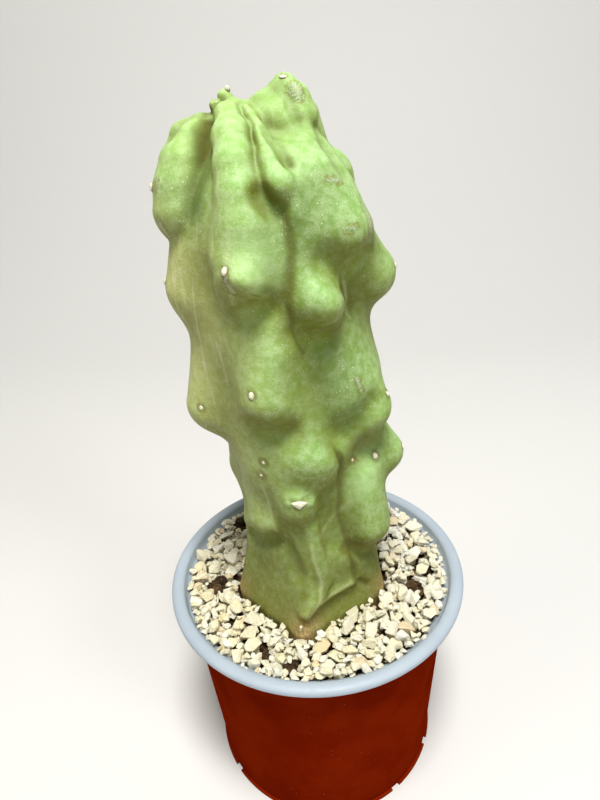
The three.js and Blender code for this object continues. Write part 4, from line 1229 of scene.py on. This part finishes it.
def drop(planes, size, turn, random, allowed, inner):
    """Where a chip comes to rest: its centre in mm, or None if every place tried is too high."""
    reach = int(size * 0.62 / CELL) + 1
    top, low = chip_heights(planes, size, turn, reach)
    inside = top > low
    outer = SHOULDER_RADIUS - size * 0.3
    width = 2 * reach + 1
    best = None
    for _ in range(TRIES):
        radius = math.sqrt(inner ** 2 + (outer ** 2 - inner ** 2) * random.random())
        angle = random.uniform(0, FULL_TURN)
        x, y = radius * math.cos(angle), radius * math.sin(angle)
        if not allowed(x, y):
            continue
        i = int(round((x + HALF) / CELL)) - reach
        j = int(round((y + HALF) / CELL)) - reach
        if i < 0 or j < 0 or i + width > bed.shape[0] or j + width > bed.shape[1]:
            continue
        rest = np.max((bed[i:i + width, j:j + width] - low)[inside])
        if rest < BLOCKED / 2 and (best is None or rest < best[0]):
            best = (rest, i, j)
    if best is None or best[0] > HIGHEST_REST:
        return None
    rest, i, j = best
    patch = bed[i:i + width, j:j + width]
    patch[inside] = np.maximum(patch[inside], (rest + top)[inside])
    return (i + reach) * CELL - HALF, (j + reach) * CELL - HALF, rest


print("tries for each chip:", TRIES)


# %% Laying the stones
def clear_of_spots(x, y, margin):
    return all(math.hypot(x - sx, y - sy) > radius + margin for sx, sy, radius in MIX_SPOTS)


def lay_chips(bm, tints, random, count, smallest, largest, tip, margin, inner=0.0):
    laid = 0
    for _ in range(count):
        mesh, planes = CHIPS[int(random.integers(len(CHIPS)))]
        size = smallest + (largest - smallest) * random.random() ** 1.6
        turn = turn_matrix(random, tip)
        place = drop(planes, size, turn, random, lambda x, y: clear_of_spots(x, y, margin), inner)
        if place is None:
            continue
        copy = mesh.copy()
        copy.transform(
            Matrix.Translation(Vector(place) * MM) @ (turn.to_4x4() @ Matrix.Scale(size * MM, 4)))
        bm.from_mesh(copy)
        # the chips turn warmer to the left and whiter to the right: painted light from the right
        warmth = 0.5 - place[0] / 130
        tints += [(random.random() * 0.75 + 0.25 * warmth, random.random())] * len(mesh.vertices)
        bpy.data.meshes.remove(copy)
        laid += 1
    return laid


# Count, smallest and largest in mm, tip in degrees, margin round the clearings, inner radius.
LAYERS = [
    (190, 5.5, 9.8, 16, 1.5), (160, 2.5, 5.0, 18, 0.5), (230, 5.2, 9.4, 18, 1.5),
    (150, 3.0, 5.6, 24, 0.5, SHOULDER_RADIUS - 7), (380, 2.0, 4.8, 22, -1.0),
]
random = np.random.default_rng(21)
stones_bmesh = bmesh.new()
tints = []
laid = [lay_chips(stones_bmesh, tints, random, *layer) for layer in LAYERS]
open_bed = bed[bed < BLOCKED / 2]
print("chips laid:", laid, " highest:", round(float(open_bed.max()), 1),
      " mean top:", round(float(open_bed.mean()), 1))


# %% Stone material
def stone_material():
    material, tree, shader = new_material("crushed_stone", 0.85, Specular_IOR_Level=0.25)
    place = object_place(tree)
    blotches = effect(tree, MOTTLE, Place=place, Scale=260.0)
    pits = effect(tree, MOTTLE, Place=place, Scale=1300.0)
    specks = effect(tree, GRAINS, Place=place, Scale=1100.0, Size=0.2, Share=0.16)
    tint = point_value(tree, "tint")
    cream = blend_colour(tree, tint, colour(255, 255, 246), colour(250, 242, 204))
    peach = figure(tree, "GREATER_THAN", point_value(tree, "kind"), 0.92)
    cream = coat(tree, cream, peach, 0.6, colour(232, 202, 150))
    cream = coat(tree, cream, times(tree, blotches["Broad"], tint), 0.4, colour(236, 222, 162))
    cream = coat(tree, cream, pits["Broad"], 0.2, colour(220, 210, 170))
    cream = coat(tree, cream, specks["Mask"], 0.35, colour(120, 98, 68))
    connect(tree, cream, shader.inputs["Base Color"])
    relief = plus(tree, pits["Broad"], blotches["Fine"])
    connect(tree, bump(tree, relief, 0.00025), shader.inputs["Normal"])
    return material


stones = make_piece("gravel_stones", stones_bmesh, stone_material(), smooth=False)
keep_values(stones, "tint", [tint for tint, _ in tints])
keep_values(stones, "kind", [kind for _, kind in tints])
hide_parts("gravel_top")

# %% Loose bark
# Place x, y and height in mm, length, width, thickness, turn in degrees and tint.
BARK = [
    (-40, 38, 101.2, 13, 5, 3, 10, 0.2), (-34, 36, 100.4, 8, 4, 3, -35, 0.45),
    (-43, 34, 99.6, 7, 4, 3, 50, 0.1), (-36, 41, 99.8, 8, 4, 2.4, 20, 0.3),
    (-47.5, -11, 100.4, 9, 4.4, 2.6, 60, 0.75), (-45.6, -3.5, 99.8, 6, 4, 3, -20, 0.1),
    (-48, -5, 99.4, 5, 3.4, 2.6, 80, 0.3), (43, -11, 100.2, 5, 3, 2.2, 35, 0.8),
    (46, -16, 100.0, 5, 3, 2.2, -30, 0.9), (-11.5, -54, 100.2, 5.5, 3, 2.2, 15, 0.35),
    (-22.5, -47.5, 100.0, 5, 3.2, 2.2, -40, 0.3), (-9.5, -50.5, 99.6, 3.6, 2.6, 2, 70, 0.15),
]
BEND = 0.18                  # how far a piece's ends droop, as a share of its thickness
CRUMB_LEVEL = 99.2           # mm above the floor
CRUMBS = 7                   # for each mm of a clearing's radius


def crumb(bm, place, size, turn, random):
    """A torn fibrous piece: a ball stretched long, with furrows along it and broken ends."""
    made = bmesh.ops.create_icosphere(bm, subdivisions=3, radius=1)["verts"]
    phase = random.uniform(0, FULL_TURN)
    tilt = (Matrix.Rotation(math.radians(turn), 3, "Z")
            @ Matrix.Rotation(random.normal(0, 0.2), 3, "Y"))
    for vertex in made:
        unit = vertex.co.copy()
        around = math.atan2(unit.z, unit.y)
        furrow = 1 + 0.13 * math.sin(5 * around + phase) + 0.1 * (random.random() - 0.5)
        blunt = abs(unit.x) ** 0.6 * math.copysign(1, unit.x)
        across, above = unit.y * furrow, unit.z * furrow - BEND * blunt * blunt
        shape = Vector((blunt * size[0], across * size[1], above * size[2])) / 2
        vertex.co = (Vector(place) + tilt @ shape) * MM
    return len(made)


random = np.random.default_rng(8)
bm = bmesh.new()
tints = []
for x, y, height, length, width, thickness, turn, tint in BARK:
    count = crumb(bm, (x, y, height), (length, width, thickness), turn, random)
    tints += [tint] * count
for sx, sy, radius in MIX_SPOTS:
    for _ in range(int(radius * CRUMBS)):
        angle, reach = random.uniform(0, FULL_TURN), radius * math.sqrt(random.random())
        size = random.uniform(1.0, 2.6)
        place = (sx + reach * math.cos(angle), sy + reach * math.sin(angle),
                 CRUMB_LEVEL + random.uniform(0, 0.8))
        count = crumb(bm, place, (size, size * 0.7, size * 0.6), random.uniform(0, 180), random)
        tints += [random.random() * 0.8] * count
bark = make_piece("loose_bark", bm, BARK_FINISH)
keep_values(bark, "tint", tints)

# %% [markdown]
# ## Floor and light
#
# A plain pale floor that curves up behind, and soft round lamps: one overhead and a little in
# front, a lower warm fill from the left, and a weak one from the right that picks out edges.

# %% Floor
FLOOR_HALF = 2.0             # m
FLOOR_FRONT = -1.6
BEND_START = 0.5             # m behind the pot, where the floor begins to rise
BEND_RADIUS = 0.5
WALL_TOP = 1.6
floor_material, _, floor_shader = new_material("pale_floor", 0.6, Specular_IOR_Level=0.2)
floor_shader.inputs["Base Color"].default_value = colour(214, 214, 212)
sweep = [(FLOOR_FRONT, 0), (BEND_START, 0)] + [
    (BEND_START + BEND_RADIUS * math.sin(turn), BEND_RADIUS - BEND_RADIUS * math.cos(turn))
    for turn in np.radians(range(8, 91, 8))] + [(BEND_START + BEND_RADIUS, WALL_TOP)]
bm = bmesh.new()
verts = [bm.verts.new((-FLOOR_HALF, y, z)) for y, z in sweep]
edges = [bm.edges.new(pair) for pair in zip(verts, verts[1:])]
drawn = bmesh.ops.extrude_edge_only(bm, edges=edges)["geom"]
moved = [part for part in drawn if isinstance(part, bmesh.types.BMVert)]
bmesh.ops.translate(bm, verts=moved, vec=(2 * FLOOR_HALF, 0, 0))
make_object("floor", bm, floor_material, smooth=True)

# %% Lamps
LAMP_AIM = Vector((0, 0, 0.18))


def lamp(name, place, size, energy, tone):
    data = bpy.data.lights.new(name, "AREA")
    data.shape = "DISK"
    data.size = size
    data.energy = energy
    data.color = tone
    made = place_in_scene(name, data)
    made.location = place
    made.rotation_euler = (LAMP_AIM - Vector(place)).to_track_quat("-Z", "Y").to_euler()


lamp("overhead", (0.08, -0.45, 1.65), 0.5, 34, (1.0, 0.98, 0.94))
lamp("fill", (-1.1, -0.5, 1.0), 0.8, 4.0, (1.0, 0.95, 0.84))
lamp("edge", (1.0, -0.9, 1.1), 0.5, 7.0, (1, 1, 1))
print("lamps:", [light.name for light in bpy.data.lights])

# %% Room light
world = bpy.data.worlds.new("room")
world.use_nodes = True
room_light = world.node_tree.nodes["Background"].inputs
room_light["Color"].default_value = (0.9, 0.93, 1, 1)
room_light["Strength"].default_value = 0.07
bpy.context.scene.world = world
bpy.context.scene.view_settings.view_transform = "Standard"
print("room light:", round(room_light["Strength"].default_value, 2))
